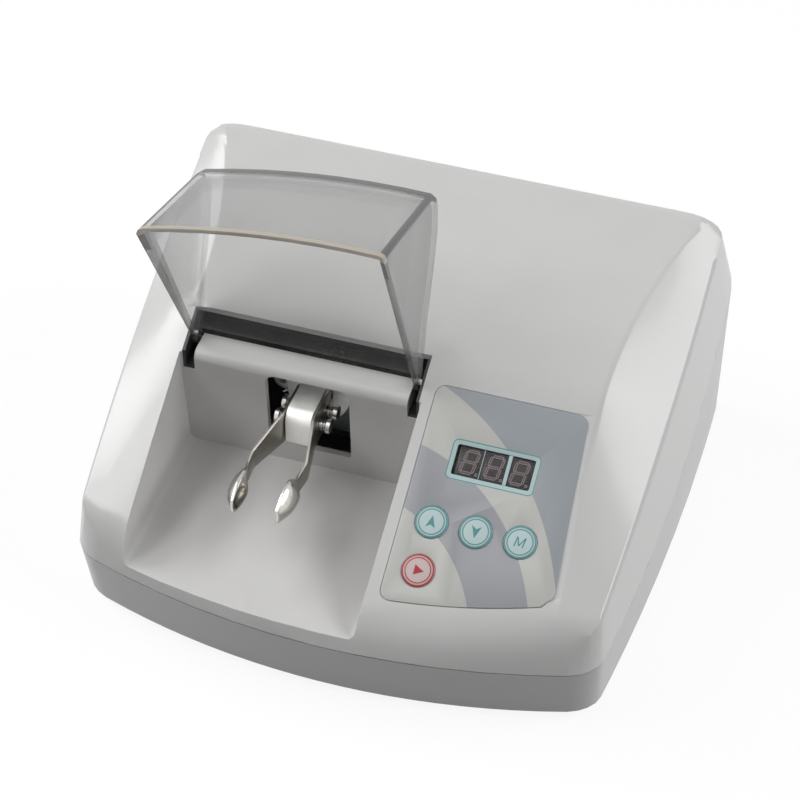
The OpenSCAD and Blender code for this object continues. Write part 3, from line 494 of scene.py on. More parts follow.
def settled_dust():
    """A thin film of dust on faces that look up: a mask."""
    tree, given, out = node_group("Settled dust", {"Amount": 0.2}, ("Mask",))
    place = put(tree, "ShaderNodeTexCoord").outputs["Object"]
    normal = put(tree, "ShaderNodeNewGeometry").outputs["Normal"]
    up = put(tree, "ShaderNodeSeparateXYZ", {0: normal}).outputs[2]
    specks = noise(tree, place, 900.0, 2.0)
    clouds = noise(tree, place, 26.0, 3.0)
    film = times(tree, ramp(tree, clouds, 0.35, 0.75), ramp(tree, specks, 0.45, 0.75, 0.3, 1.0))
    mask = times(tree, times(tree, film, ramp(tree, up, 0.2, 0.9)), given["Amount"])
    tree.links.new(mask, out.inputs[0])
    return tree


def even(scale):
    """The same scale in every direction."""
    return (scale, scale, scale)


def turned_millimetres(tree, shift, angle):
    """The object's places in millimetres, turned about X and then shifted: three values."""
    place = put(tree, "ShaderNodeTexCoord").outputs["Object"]
    values = {"Vector": place, "Location": shift, "Rotation": (angle, 0, 0), "Scale": even(1 / MM)}
    moved = put(tree, "ShaderNodeMapping", values).outputs[0]
    return put(tree, "ShaderNodeSeparateXYZ", {0: moved}).outputs


def panel_place():
    """Millimetres across and up the slope of the control panel."""
    tree, _, out = node_group("Panel place", {}, ("Across", "Along"))
    turn = Matrix.Rotation(-PANEL_SLOPE, 3, "X")
    across, along, _ = turned_millimetres(tree, -(turn @ (PANEL_FOOT / MM)), -PANEL_SLOPE)
    tree.links.new(across, out.inputs[0])
    tree.links.new(along, out.inputs[1])
    return tree


def lid_bends():
    """The lid's bends, its side walls' free edges and its front wall's edge, on the closed lid; the bends
    and free edges take painted shade.
    """
    tree, _, out = node_group("Lid bends", {}, ("Mask", "Edge", "Foot", "Front"))
    turn = Matrix.Rotation(LID_OPEN, 3, "X")
    x, y, z = turned_millimetres(tree, (HINGE - turn @ HINGE) / MM, LID_OPEN)
    square = (FRONT_ARC_RADIUS / MM) ** 2
    arc = calc(tree, "SQRT", minus(tree, square, times(tree, x, x)))
    depth = plus(tree, minus(tree, y, FRONT_ARC_Y / MM), arc)

    forward = times(tree, minus(tree, FRONT_BEND_DEPTH, depth), FRONT_BEND_LEAN[0])
    upward = times(tree, minus(tree, z, FRONT_BEND_Z), FRONT_BEND_LEAN[1])
    tree.links.new(ramp(tree, plus(tree, forward, upward), -2.4, -2.0), out.inputs["Front"])

    to_left = minus(tree, x, LID_SIDES[0] / MM)
    to_right = minus(tree, LID_SIDES[1] / MM, x)
    inside = calc(tree, "MINIMUM", to_left, to_right)
    normal = put(tree, "ShaderNodeNewGeometry").outputs["Normal"]
    flat = calc(tree, "ABSOLUTE", put(tree, "ShaderNodeSeparateXYZ", {0: normal}).outputs[0])
    side = times(tree, ramp(tree, inside, 2.7, 2.3), ramp(tree, flat, 0.99, 0.93))
    behind_front = ramp(tree, depth, 17.5, 15.5, 0.3, 1.0)
    tree.links.new(times(tree, side, behind_front), out.inputs["Mask"])

    edge = times(tree, minus(tree, y, SIDE_EDGE_Y), SIDE_EDGE_RISE)
    above_edge = minus(tree, minus(tree, z, SIDE_EDGE_Z), edge)
    edge_mask = times(tree, ramp(tree, above_edge, 1.3, 1.0), ramp(tree, depth, 4.5, 5.5))
    tree.links.new(edge_mask, out.inputs["Edge"])

    foot = ramp(tree, z, LID_FOOT_Z + 0.2, LID_FOOT_Z - 0.2)
    tree.links.new(times(tree, foot, ramp(tree, depth, 6.0, 5.0)), out.inputs["Foot"])
    return tree


def rounded_field():
    """Signed distance in mm to a rounded rectangle: less than nothing is inside."""
    tree, given, out = node_group(
        "Rounded field", {"X": 0.0, "Y": 0.0, "Half width": 1.0, "Half height": 1.0, "Radius": 0.2},
        ("Distance",))
    qx = plus(tree, minus(tree, calc(tree, "ABSOLUTE", given["X"]), given["Half width"]), given["Radius"])
    qy = plus(tree, minus(tree, calc(tree, "ABSOLUTE", given["Y"]), given["Half height"]), given["Radius"])
    far = length_of(tree, most(tree, qx, 0.0), most(tree, qy, 0.0))
    near = calc(tree, "MINIMUM", most(tree, qx, qy), 0.0)
    tree.links.new(minus(tree, plus(tree, far, near), given["Radius"]), out.inputs[0])
    return tree


GROUPS = {}


def effect(tree, name, values=None):
    """Places a shared effect in a material."""
    makers = {"skin": moulded_skin, "grain": brushed_grain, "dust": settled_dust, "panel": panel_place,
              "bends": lid_bends, "field": rounded_field}
    if name not in GROUPS:
        GROUPS[name] = makers[name]()
    return put(tree, "ShaderNodeGroup", values, node_tree=GROUPS[name]).outputs


def new_material(name):
    """A material with its tree and its Principled shader."""
    material = bpy.data.materials.new(name)
    material.use_nodes = True
    return material, material.node_tree, material.node_tree.nodes["Principled BSDF"]


def bump(tree, shader, height, strength, distance):
    """Feeds a height to the shader's normal."""
    node = put(tree, "ShaderNodeBump", {"Height": height, "Strength": strength, "Distance": distance})
    tree.links.new(node.outputs[0], shader.inputs["Normal"])


def plastic(name, colour, rough, spread, grain, depth, dust, coat=0.0):
    """Moulded plastic or rubber with a fine skin and a little dust."""
    material, tree, shader = new_material(name)
    skin = effect(tree, "skin", {"Grain scale": grain, "Roughness": rough, "Spread": spread})
    tone = blend(tree, skin["Tone"], shade(colour, 0.985), shade(colour, 1.01))
    dusty = effect(tree, "dust", {"Amount": dust})
    tree.links.new(blend(tree, dusty["Mask"], tone, DUST), shader.inputs["Base Color"])
    tree.links.new(skin["Roughness"], shader.inputs["Roughness"])
    shader.inputs["Coat Weight"].default_value = coat
    shader.inputs["Coat Roughness"].default_value = 0.12
    bump(tree, shader, skin["Height"], depth, 0.00004)
    return material


def metal(name, colour, rough, spread, across, depth):
    """Metal with a brushed, rolled or ground grain."""
    material, tree, shader = new_material(name)
    scales = {"Across X": across[0], "Across Y": across[1], "Across Z": across[2]}
    grain = effect(tree, "grain", {**scales, "Roughness": rough, "Spread": spread})
    tone = blend(tree, grain["Tone"], shade(colour, 0.93), shade(colour, 1.03))
    tree.links.new(tone, shader.inputs["Base Color"])
    tree.links.new(grain["Roughness"], shader.inputs["Roughness"])
    shader.inputs["Metallic"].default_value = 1.0
    bump(tree, shader, grain["Height"], depth, 0.00003)
    return material


def clear_plastic(name, colour, rough, body, rim, bend_shade=0.0):
    """Thin clear plastic with faint marks of handling, a painted sheen that makes it denser at a grazing
    view, and painted shade that makes its bends dark and dense.
    """
    material, tree, shader = new_material(name)
    skin = effect(tree, "skin", {"Grain scale": 500.0, "Roughness": rough, "Spread": 0.04})
    roughness = skin["Roughness"]
    tint = blend(tree, skin["Tone"], shade(colour, 0.95), shade(colour, 1.03))
    # Painted sheen: the plastic grows denser towards a grazing view
    facing = put(tree, "ShaderNodeLayerWeight", {"Blend": 0.5}).outputs["Facing"]
    veil = plus(tree, times(tree, calc(tree, "POWER", facing, 3.0), rim), body)
    if bend_shade:
        # Painted shade: the bends and free edges are tinted dark, made denser and made rougher
        bends = effect(tree, "bends")
        front = times(tree, bends["Front"], ramp(tree, facing, 0.25, 0.6))
        tint = blend(tree, most(tree, bends["Mask"], bends["Edge"], front), tint, LID_BEND_PAINTED_SHADE)
        tint = blend(tree, bends["Foot"], tint, LID_FOOT_TINT)
        dense = times(tree, most(tree, bends["Mask"], bends["Foot"]), bend_shade)
        edge = times(tree, bends["Edge"], bend_shade * 0.7)
        veil = most(tree, veil, dense, edge, times(tree, front, bend_shade))
        roughness = plus(tree, roughness, times(tree, most(tree, bends["Mask"], front), 0.4))
    tree.links.new(roughness, shader.inputs["Roughness"])
    tree.links.new(tint, shader.inputs["Base Color"])
    tree.links.new(veil, shader.inputs["Alpha"])
    shader.inputs["Specular IOR Level"].default_value = 0.6
    return material


def panel_print(name, colours):
    """The overlay's printed film: curved fields in two greys, and the frame round the display."""
    material, tree, shader = new_material(name)
    spot = effect(tree, "panel")
    dx = minus(tree, spot["Across"], FILM_CENTRE[0])
    dy = minus(tree, spot["Along"], FILM_CENTRE[1])
    squashed = times(tree, times(tree, dy, dy), FILM_SQUASH)
    reach = calc(tree, "SQRT", plus(tree, times(tree, dx, dx), squashed))
    leaning = plus(tree, reach, times(tree, dx, FILM_LEAN))
    field = rgb(colours.film_light)
    beyond = (colours.film_band, colours.film_light, colours.film_dark)
    for distance, radius, colour in zip((reach, reach, leaning), FILM_ARCS, beyond):
        field = blend(tree, ramp(tree, distance, radius - 0.1, radius + 0.1), field, rgb(colour))
    x = minus(tree, spot["Across"], DISPLAY_PLACE[0])
    y = minus(tree, spot["Along"], DISPLAY_PLACE[1])
    frame_size = {"Half width": DISPLAY_HALF[0], "Half height": DISPLAY_HALF[1], "Radius": DISPLAY_CORNER}
    edge = effect(tree, "field", {"X": x, "Y": y, **frame_size})["Distance"]
    field = blend(tree, ramp(tree, edge, 0.05, -0.05), field, rgb(colours.display_frame))
    field = blend(tree, ring(tree, edge, -0.22, 0.2), field, rgb(colours.key_line))
    skin = effect(tree, "skin", {"Grain scale": 5200.0, "Roughness": 0.42, "Spread": 0.05})
    dusty = effect(tree, "dust", {"Amount": 0.12})
    tree.links.new(blend(tree, dusty["Mask"], field, DUST), shader.inputs["Base Color"])
    tree.links.new(skin["Roughness"], shader.inputs["Roughness"])
    bump(tree, shader, skin["Height"], 0.3, 0.00003)
    return material


def key_print(name, place, line_colour, fill_colour):
    """A key's film: two printed rings round its own middle."""
    material, tree, shader = new_material(name)
    spot = effect(tree, "panel")
    dx = minus(tree, spot["Across"], place[0])
    dy = minus(tree, spot["Along"], place[1])
    reach = length_of(tree, dx, dy)
    rings = most(tree, *(ring(tree, reach, radius, half) for radius, half in KEY_RINGS))
    inner = KEY_RINGS[1][0]
    band = ramp(tree, reach, inner - 0.05, inner + 0.05)
    fill = blend(tree, band, rgb(fill_colour), shade(fill_colour, 0.86))
    skin = effect(tree, "skin", {"Grain scale": 5200.0, "Roughness": 0.38, "Spread": 0.05})
    tree.links.new(blend(tree, rings, fill, rgb(line_colour)), shader.inputs["Base Color"])
    tree.links.new(skin["Roughness"], shader.inputs["Roughness"])
    bump(tree, shader, skin["Height"], 0.3, 0.00003)
    return material


def display_part(name, colour, rough):
    """Smooth plastic behind the display window, where no dust settles."""
    return plastic(name, colour, rough, 0.05, 2400.0, 0.2, 0.0)


def printed(name, colour):
    """Ink on the panel's film."""
    return plastic(name, colour, 0.42, 0.05, 5200.0, 0.2, 0.0)


MATERIALS = {}


def material(name):
    """A shared material, made when it is first asked for."""
    colours = bpy.context.scene.amalgamator_colours
    makers = {
        "white": lambda: plastic("White moulding", colours.housing, 0.3, 0.05, 1700.0, 0.22, 0.1, 0.25),
        # painted shade: the base is the housing's white plastic, made darker
        "base": lambda: plastic("Base moulding with painted shade", colours.base, 0.34, 0.05, 1700.0, 0.25, 0.06, 0.15),
        "rubber": lambda: plastic("Black rubber", (0.025, 0.025, 0.026), 0.75, 0.08, 2600.0, 0.5, 0.3),
        # black foam of the slot baffle, in part painted shade that darkens the slot
        "foam_and_shade": lambda: plastic("Black foam", (0.012, 0.011, 0.01), 0.85, 0.1, 1300.0, 0.9, 0.25),
        "black": lambda: plastic("Black plastic", (0.02, 0.02, 0.022), 0.42, 0.08, 2400.0, 0.4, 0.2),
        "grey": lambda: plastic("Dark grey plastic", (0.06, 0.06, 0.065), 0.4, 0.08, 2400.0, 0.4, 0.2),
        "winding": lambda: plastic("Varnished core", (0.05, 0.035, 0.02), 0.3, 0.1, 700.0, 0.6, 0.15),
        "board": lambda: plastic("Circuit board", (0.012, 0.09, 0.035), 0.35, 0.08, 900.0, 0.5, 0.1),
        "digit_face": lambda: display_part("Digit face", (0.012, 0.01, 0.011), 0.35),
        "segment": lambda: display_part("Unlit segment", (0.13, 0.075, 0.075), 0.4),
        "segment_edge": lambda: display_part("Segment rim", (0.5, 0.42, 0.43), 0.4),
        "teal_mark": lambda: printed("Teal print", colours.key_line),
        "red_mark": lambda: printed("Red print", colours.start_line),
        "cyan": lambda: printed("Frame print", colours.display_frame),
        "film": lambda: panel_print("Panel film", colours),
        "clear": lambda: clear_plastic("Clear lid plastic", colours.lid, 0.05, 0.08, 0.8, 0.85),
        "window": lambda: clear_plastic("Display window", (0.1, 0.1, 0.11), 0.16, 0.06, 0.5),
        "steel": lambda: metal("Bright spring steel", (0.6, 0.585, 0.55), 0.17, 0.1, STRIP_GRAIN, 0.12),
        "strip": lambda: metal("Rolled spring strip", (0.38, 0.36, 0.32), 0.32, 0.12, STRIP_GRAIN, 0.15),
        "screw": lambda: metal("Plated screw steel", (0.6, 0.59, 0.57), 0.24, 0.12, even(1500.0), 0.15),
        "wire": lambda: metal("Spring wire", (0.42, 0.42, 0.42), 0.3, 0.12, even(900.0), 0.2),
        "aluminium": lambda: metal("Brushed aluminium", (0.88, 0.88, 0.86), 0.56, 0.14, BLOCK_GRAIN, 0.3),
        "ground": lambda: metal("Ground bearing steel", (0.55, 0.56, 0.58), 0.15, 0.08, RING_GRAIN, 0.1),
        "zinc": lambda: metal("Zinc plated steel", (0.45, 0.47, 0.49), 0.36, 0.2, even(240.0), 0.2),
        "can": lambda: metal("Motor can", (0.28, 0.29, 0.3), 0.35, 0.15, CAN_GRAIN, 0.2),
    }
    if name not in MATERIALS:
        MATERIALS[name] = makers[name]()
    return MATERIALS[name]


# What a user would change

class AmalgamatorSizes(bpy.types.PropertyGroup):
    """Sizes of the finishing details."""
    moulding_edge: bpy.props.FloatProperty(
        name="Moulding edge", description="Radius on the mouldings' sharp edges",
        default=0.0009, min=0.0, max=0.003, unit="LENGTH")
    lid_edge: bpy.props.FloatProperty(
        name="Lid edge", description="Radius on the lid's edges",
        default=0.0004, min=0.0, max=0.001, unit="LENGTH")
    metal_edge: bpy.props.FloatProperty(
        name="Metal edge", description="Radius on machined edges",
        default=0.0003, min=0.0, max=0.001, unit="LENGTH")
    digit_height: bpy.props.FloatProperty(
        name="Digit height", description="Height of a display digit",
        default=0.0086, min=0.006, max=0.01, unit="LENGTH")
    digit_width: bpy.props.FloatProperty(
        name="Digit width", description="Width of a display digit",
        default=0.0048, min=0.003, max=0.006, unit="LENGTH")
    segment_width: bpy.props.FloatProperty(
        name="Segment width", description="Width of one segment of a digit",
        default=0.00105, min=0.0006, max=0.0014, unit="LENGTH")


SWATCH = {"size": 3, "min": 0, "max": 1, "subtype": "COLOR"}


class AmalgamatorColours(bpy.types.PropertyGroup):
    """Colours of the visible pieces."""
    housing: bpy.props.FloatVectorProperty(
        name="Housing", description="Colour of the white mouldings", default=(0.67, 0.665, 0.66), **SWATCH)
    # Painted shade: the base is the same white plastic as the housing, darker because its walls lean in and
    # face down
    base: bpy.props.FloatVectorProperty(
        name="Base", description="Colour of the lower moulding", default=(0.49, 0.49, 0.487), **SWATCH)
    lid: bpy.props.FloatVectorProperty(
        name="Lid", description="Tint of the clear lid", default=(0.36, 0.365, 0.36), **SWATCH)
    film_dark: bpy.props.FloatVectorProperty(
        name="Film, dark", description="Blue grey of the panel's top field",
        default=(0.36, 0.39, 0.42), **SWATCH)
    film_band: bpy.props.FloatVectorProperty(
        name="Film, band", description="Grey of the panel's curved band",
        default=(0.38, 0.39, 0.42), **SWATCH)
    film_light: bpy.props.FloatVectorProperty(
        name="Film, light", description="Light grey of the panel", default=(0.6, 0.6, 0.575), **SWATCH)
    display_frame: bpy.props.FloatVectorProperty(
        name="Display frame", description="Pale blue round the display",
        default=(0.5, 0.66, 0.66), **SWATCH)
    key_line: bpy.props.FloatVectorProperty(
        name="Key lines", description="Teal of the rings and arrows", default=(0.09, 0.3, 0.31), **SWATCH)
    key_fill: bpy.props.FloatVectorProperty(
        name="Key fill", description="Pale blue of the keys", default=(0.56, 0.7, 0.71), **SWATCH)
    start_line: bpy.props.FloatVectorProperty(
        name="Start lines", description="Red of the start key", default=(0.45, 0.012, 0.025), **SWATCH)
    start_fill: bpy.props.FloatVectorProperty(
        name="Start fill", description="Pale pink of the start key", default=(0.66, 0.55, 0.54), **SWATCH)


# The pieces

class AMALGAMATOR_OT_mouldings(bpy.types.Operator):
    """Upper and lower housing with soft edges"""
    bl_idname = "amalgamator.mouldings"
    bl_label = "Housing mouldings"

    def execute(self, context):
        sizes = context.scene.amalgamator_sizes
        for node, name, finish, slot in (("upper_housing", "upper_moulding", "white", "abs_white"),
                                         ("lower_base", "lower_moulding", "base", "abs_base")):
            piece = cad_copy(node, name, 0)
            if node == "upper_housing":
                self.crisp_crease(piece)
                self.close_bore(piece)
            pick(piece)
            bpy.ops.mesh.dissolve_limited(angle_limit=math.radians(0.02))
            leave()
            if node == "upper_housing":
                pick(piece, "EDGE", self.on_ridge)
                bpy.ops.mesh.bevel(offset=sizes.moulding_edge * 1.7, segments=4, clamp_overlap=False)
                leave()
            soften(piece, sizes.moulding_edge, segments=3, angle=38, shading=40)
            modify(piece, "WEIGHTED_NORMAL", keep_sharp=True, weight=50)
            dress(piece, "housing", slot, material(finish), node)
        return {"FINISHED"}

    def crisp_crease(self, piece):
        """Draws the soft crease between the top and each side's chamfer in to a tight round.

        Each section of the solid has two points on the soft round, a ninth and four ninths of the way down
        to the chamfer's middle. The left side is left alone beside the chamber and its ledge.
        """
        for point in piece.data.vertices:
            x, y, z = point.co / MM
            side = 1 if x > 0 else -1
            out = side * x - self.crease(y)
            by_ledge = side < 0 and y < LEDGE_BACK_Y
            if not CREASE_BAND[0] <= out <= CREASE_BAND[1] or z < CREASE_FOOT_Z or by_ledge:
                continue
            top = self.top(y)
            half = (top - self.ridge(y)) / 2
            drop = top - z
            if out < -0.8 and abs(drop - half / 9) < CREASE_MATCH[0]:
                point.co.x = side * (self.crease(y) - CREASE_INNER[0]) * MM
                point.co.z = (top - CREASE_INNER[1]) * MM
            elif out > 1 and abs(drop - half * 4 / 9) < CREASE_MATCH[1]:
                point.co.x = side * (self.crease(y) + (out + 1) * CREASE_SHRINK) * MM
                point.co.z = (top - half * CREASE_DROP) * MM

    def crease(self, y):
        """Distance of the crease from the middle, in millimetres."""
        waist = WAIST_FRONT if y < WAIST_Y else WAIST_BACK
        return WAIST_X + waist * ((y - WAIST_Y) / WAIST_SPAN) ** 2

    def ridge(self, y):
        """Height of the line where the chamfers meet the side walls, in millimetres."""
        line = RIDGE_FRONT_Z + RIDGE_RISE * (y - RIDGE_FRONT_Y) / RIDGE_RUN
        return min(line, self.top(y) - 1.5)

    def on_ridge(self, a, b):
        """Edges along the line where the chamfers meet the side walls."""
        runs_back = abs(a.y - b.y) >= 2 * MM
        if not runs_back or min(abs(a.x), abs(b.x)) < RIDGE_LEAST_X or max(a.y, b.y) > RIDGE_LAST_Y:
            return False
        return all(abs(p.z / MM - self.ridge(p.y / MM)) < RIDGE_MATCH for p in (a, b))

    def top(self, y):
        """Height of the slope and the flat top over the middle, in millimetres."""
        steep = math.tan(PANEL_SLOPE)
        along = y - TURN_Y + TURN_HALF
        if along < 0:
            return TURN_Z + (y - TURN_Y) * steep
        if along > 2 * TURN_HALF:
            return TURN_Z + (y - TURN_Y) * TOP_RISE
        turned = (TOP_RISE - steep) * along * along / (4 * TURN_HALF)
        return TURN_Z - TURN_HALF * steep + steep * along + turned

    def close_bore(self, piece):
        """Closes the pin's bore where it meets the left chamfer."""
        for point in piece.data.vertices:
            if all(low < value < high for value, (low, high) in zip(point.co / MM, BORE_ZONE)):
                point.co = BORE_BREAK * MM
        pick(piece)
        bpy.ops.mesh.remove_doubles(threshold=BORE_WELD)
        leave()


class AMALGAMATOR_OT_underside(bpy.types.Operator):
    """Rubber feet and housing screws"""
    bl_idname = "amalgamator.underside"
    bl_label = "Feet and screws"

    def execute(self, context):
        feet = cad_copy("rubber_feet", "feet")
        soften(feet, width=0.0005)
        dress(feet, "housing", "rubber", material("rubber"), "rubber_feet")
        for node in ("housing_screws", "board_screws", "strap_screws", "inlet_screws"):
            paint_node(node, material("screw"))
        return {"FINISHED"}


class AMALGAMATOR_OT_lid(bpy.types.Operator):
    """Clear lid on its two pins"""
    bl_idname = "amalgamator.lid"
    bl_label = "Lid"

    def execute(self, context):
        lid = cad_copy("lid", "clear_lid", 0.2)
        soften(lid, context.scene.amalgamator_sizes.lid_edge, angle=40, shading=40)
        dress(lid, "lid", "clear_acrylic", material("clear"), "lid")
        paint_node("lid_hinge_pins", material("screw"))
        paint_node("hinge_brackets", material("black"))
        # The slot baffle is black foam, in part painted shade that darkens the deep slot behind the ledge
        paint_node("slot_baffle", material("foam_and_shade"))
        return {"FINISHED"}


class AMALGAMATOR_OT_overlay(bpy.types.Operator):
    """Printed film of the control panel and the window over the digits"""
    bl_idname = "amalgamator.overlay"
    bl_label = "Panel film"

    def execute(self, context):
        film = cad_copy("control_overlay", "panel_film", 0.1)
        soften(film, width=0.00022, angle=50, shading=40)
        dress(film, "housing", "membrane", material("film"), "control_overlay")
        pane = cad_copy("display_window", "display_pane", 0.1)
        draw_out(pane, PANE_SHIFT, lambda out: out < -1)
        soften(pane, width=0.0001, angle=50, shading=40)
        dress(pane, "housing", "smoked_window", material("window"), "display_window")
        high = BAR_HALF_HEIGHT
        bars = [add_box("bar", (x - half, -high, 0), (x + half, high, BAR_DEPTH)) for x, half in BAR_PLACES]
        bar = join(bars, "display_bars")
        place_on(bar, panel_matrix(*DISPLAY_PLACE, BAR_OUT))
        dress(bar, "housing", "membrane", material("cyan"))
        return {"FINISHED"}


class AMALGAMATOR_OT_digits(bpy.types.Operator):
    """Three seven-segment digits behind the window"""
    bl_idname = "amalgamator.digits"
    bl_label = "Digits"

    def execute(self, context):
        sizes = context.scene.amalgamator_sizes
        face = cad_copy("digit_module", "digit_blocks", 0.1)
        draw_out(face, DIGIT_FACE_SHIFT, lambda out: out > -4)
        soften(face, width=0.0002)
        dress(face, "housing", "led_black", material("digit_face"), "digit_module")
        half_w, half_h = sizes.digit_width / 2, sizes.digit_height / 2
        wide = sizes.segment_width
        pieces = []
        for digit in DIGIT_PLACES:
            for y in (half_h, 0, -half_h):
                pieces.append(self.segment(digit, 0, y, 2 * half_w, wide, False))
            for x, y in ((half_w, half_h), (-half_w, half_h), (half_w, -half_h), (-half_w, -half_h)):
                pieces.append(self.segment(digit, x, y / 2, half_h, wide, True))
            pieces.append(self.point(digit, half_w + POINT_AWAY, -half_h))
        shown = join(pieces, "digit_segments")
        place_on(shown, panel_matrix(*DISPLAY_PLACE, DIGIT_OUT))
        wear(shown, "housing", "led_black")
        return {"FINISHED"}

    def segment(self, digit, x, y, length, wide, upright):
        """One long hexagon with a paler rim, leaning as the digit does."""
        a, b = (length - SEGMENT_GAP) / 2, wide / 2
        outline = [(-a, 0), (-a + b, -b), (a - b, -b), (a, 0), (a - b, b), (-a + b, b)]
        if upright:
            outline = [(-q, p) for p, q in outline]
        lean = math.tan(DIGIT_LEAN)
        return self.rimmed([(digit * MM + x + p + (y + q) * lean, y + q) for p, q in outline])

    def point(self, digit, x, y):
        """The decimal point."""
        middle, r = digit * MM + x, POINT_RADIUS
        angles = [t * math.pi / 5 for t in range(10)]
        return self.rimmed([(middle + r * math.cos(t), y + r * math.sin(t)) for t in angles])

    def rimmed(self, points):
        """A thin plate whose inset face has the darker finish."""
        piece = flat_outline("segment", points, SEGMENT_DEPTH)
        piece.data.materials.append(material("segment_edge"))
        piece.data.materials.append(material("segment"))
        pick(piece, "FACE", lambda c, n: n.z > 0.9)
        bpy.ops.mesh.inset(thickness=SEGMENT_RIM, depth=0.0)
        paint_picked(piece, 1)
        return piece


class AMALGAMATOR_OT_keys(bpy.types.Operator):
    """Four membrane keys with their printed rings and marks"""
    bl_idname = "amalgamator.keys"
    bl_label = "Keys"

    def execute(self, context):
        colours = context.scene.amalgamator_colours
        marks = {"key_up": self.arrow(1), "key_down": self.arrow(-1), "key_mode": self.letter(),
                 "key_start": self.triangle()}
        for node, place in KEY_PLACES.items():
            ink, line, fill, slot = "teal_mark", colours.key_line, colours.key_fill, "key_teal"
            if node == "key_start":
                ink, line, fill, slot = "red_mark", colours.start_line, colours.start_fill, "key_red"
            cap = cad_copy(node, node + "_cap", 0.1)
            soften(cap, width=0.00018, segments=3, angle=25, shading=50)
            dress(cap, node, slot, key_print(node + " film", place, line, fill), node)
            mark = marks[node]
            mark.name = node + "_mark"
            place_on(mark, panel_matrix(*place, KEY_MARK_OUT))
            dress(mark, node, slot, material(ink))
        return {"FINISHED"}

    def arrow(self, way):
        """A slim arrowhead with a notched foot."""
        points = [(0, 2.5), (1.9, -2.3), (0, -1.1), (-1.9, -2.3)]
        return flat_outline("arrow", [(x * MM * way, y * MM * way) for x, y in points], MARK_DEPTH)

    def triangle(self):
        """A play mark."""
        points = [(-1.5, -2.0), (2.3, 0), (-1.5, 2.0)]
        return flat_outline("triangle", [(x * MM, y * MM) for x, y in points], MARK_DEPTH)

    def letter(self):
        """The letter of the mode key, slanted."""
        outline = [(-2.3, -2.0), (-1.7, -2.0), (-1.7, 1.1), (-0.25, -1.6), (0.25, -1.6), (1.7, 1.1),
                   (1.7, -2.0), (2.3, -2.0), (2.3, 2.1), (1.65, 2.1), (0, -0.9), (-1.65, 2.1), (-2.3, 2.1)]
        narrow, slant, low = 0.8, 0.15, 0.95
        points = [((x * narrow + y * slant) * MM, y * low * MM) for x, y in outline]
        return flat_outline("letter", points, MARK_DEPTH)


class AMALGAMATOR_OT_fork(bpy.types.Operator):
    """Two spring-steel arms with spoon-shaped cups"""
    bl_idname = "amalgamator.fork"
    bl_label = "Fork arms"

    def execute(self, context):
        for body, node in (("arm_left", "fork_arm_left"), ("arm_right", "fork_arm_right")):
            piece = cad_copy(node, node + "_steel", 0)
            soften(piece, width=0.0002, angle=45, shading=50)
            piece.data.materials.clear()
            for finish in ("steel", "strip"):
                piece.data.materials.append(material(finish))
            pick(piece, "FACE", lambda c, n: c.y > CUP_START and abs(n.x) > 0.75)
            paint_picked(piece, 1)
            wear(piece, body, "spring_steel", node)
        return {"FINISHED"}


class AMALGAMATOR_OT_rocker(bpy.types.Operator):
    """Rocker block, its bearing, screws and the small springs on the arms"""
    bl_idname = "amalgamator.rocker"
    bl_label = "Rocker"

    def execute(self, context):
        block = cad_copy("rocker_block", "rocker_body", 0.1)
        soften(block, context.scene.amalgamator_sizes.metal_edge, segments=3, angle=35, shading=40)
        dress(block, "rocker", "brushed_aluminium", material("aluminium"), "rocker_block")
        for node in ("bearing_outer_ring", "bearing_balls", "bearing_inner_ring", "oblique_hub",
                     "motor_shaft"):
            paint_node(node, material("ground"))
        paint_node("arm_screws", material("screw"))
        paint_node("steady_springs", material("wire"))
        for side, (far, near) in COIL_ENDS.items():
            springs = cad_copy("arm_springs_" + side, "arm_coils_" + side, 0)
            smooth(springs, 50)
            springs.data.materials.clear()
            springs.data.materials.append(material("wire"))
            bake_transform(springs)
            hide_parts("arm_springs_" + side)
        return {"FINISHED"}


class AMALGAMATOR_OT_drive(bpy.types.Operator):
    """Motor, cradle, boards and transformer"""
    bl_idname = "amalgamator.drive"
    bl_label = "Drive and boards"

    def execute(self, context):
        finishes = {"motor_body": "can", "motor_cradle": "zinc", "motor_strap": "zinc",
                    "rubber_mounts": "rubber", "cooling_fan": "black", "control_board": "board",
                    "display_board": "board", "board_heatsink": "aluminium", "transformer": "winding",
                    "key_switches": "black"}
        for node, finish in finishes.items():
            paint_node(node, material(finish))
        return {"FINISHED"}


class AMALGAMATOR_OT_back(bpy.types.Operator):
    """Mains inlet with its pins and fuse drawer, and the power switch"""
    bl_idname = "amalgamator.back"
    bl_label = "Back panel"

    def execute(self, context):
        for node, body, slot, finish in (("power_inlet", "housing", "black_plastic", "black"),
                                         ("switch_frame", "housing", "black_plastic", "black"),
                                         ("fuse_drawer", "fuse_drawer", "grey_plastic", "grey"),
                                         ("switch_rocker", "power_rocker", "grey_plastic", "grey")):
            piece = cad_copy(node, node + "_part", 0.1)
            soften(piece, width=0.0003, angle=40, shading=40)
            dress(piece, body, slot, material(finish), node)
        half_x, half_z = BLADE_HALF
        front, back = BLADE_ENDS
        blades = []
        for away, up in BLADE_PLACES:
            x, z = INLET_X + away, INLET_Z + up
            blades.append(add_box("blade", (x - half_x, front, z - half_z), (x + half_x, back, z + half_z)))
        blade = join(blades, "inlet_blades")
        soften(blade, width=0.0004)
        dress(blade, "housing", "screw_steel", material("screw"))
        return {"FINISHED"}


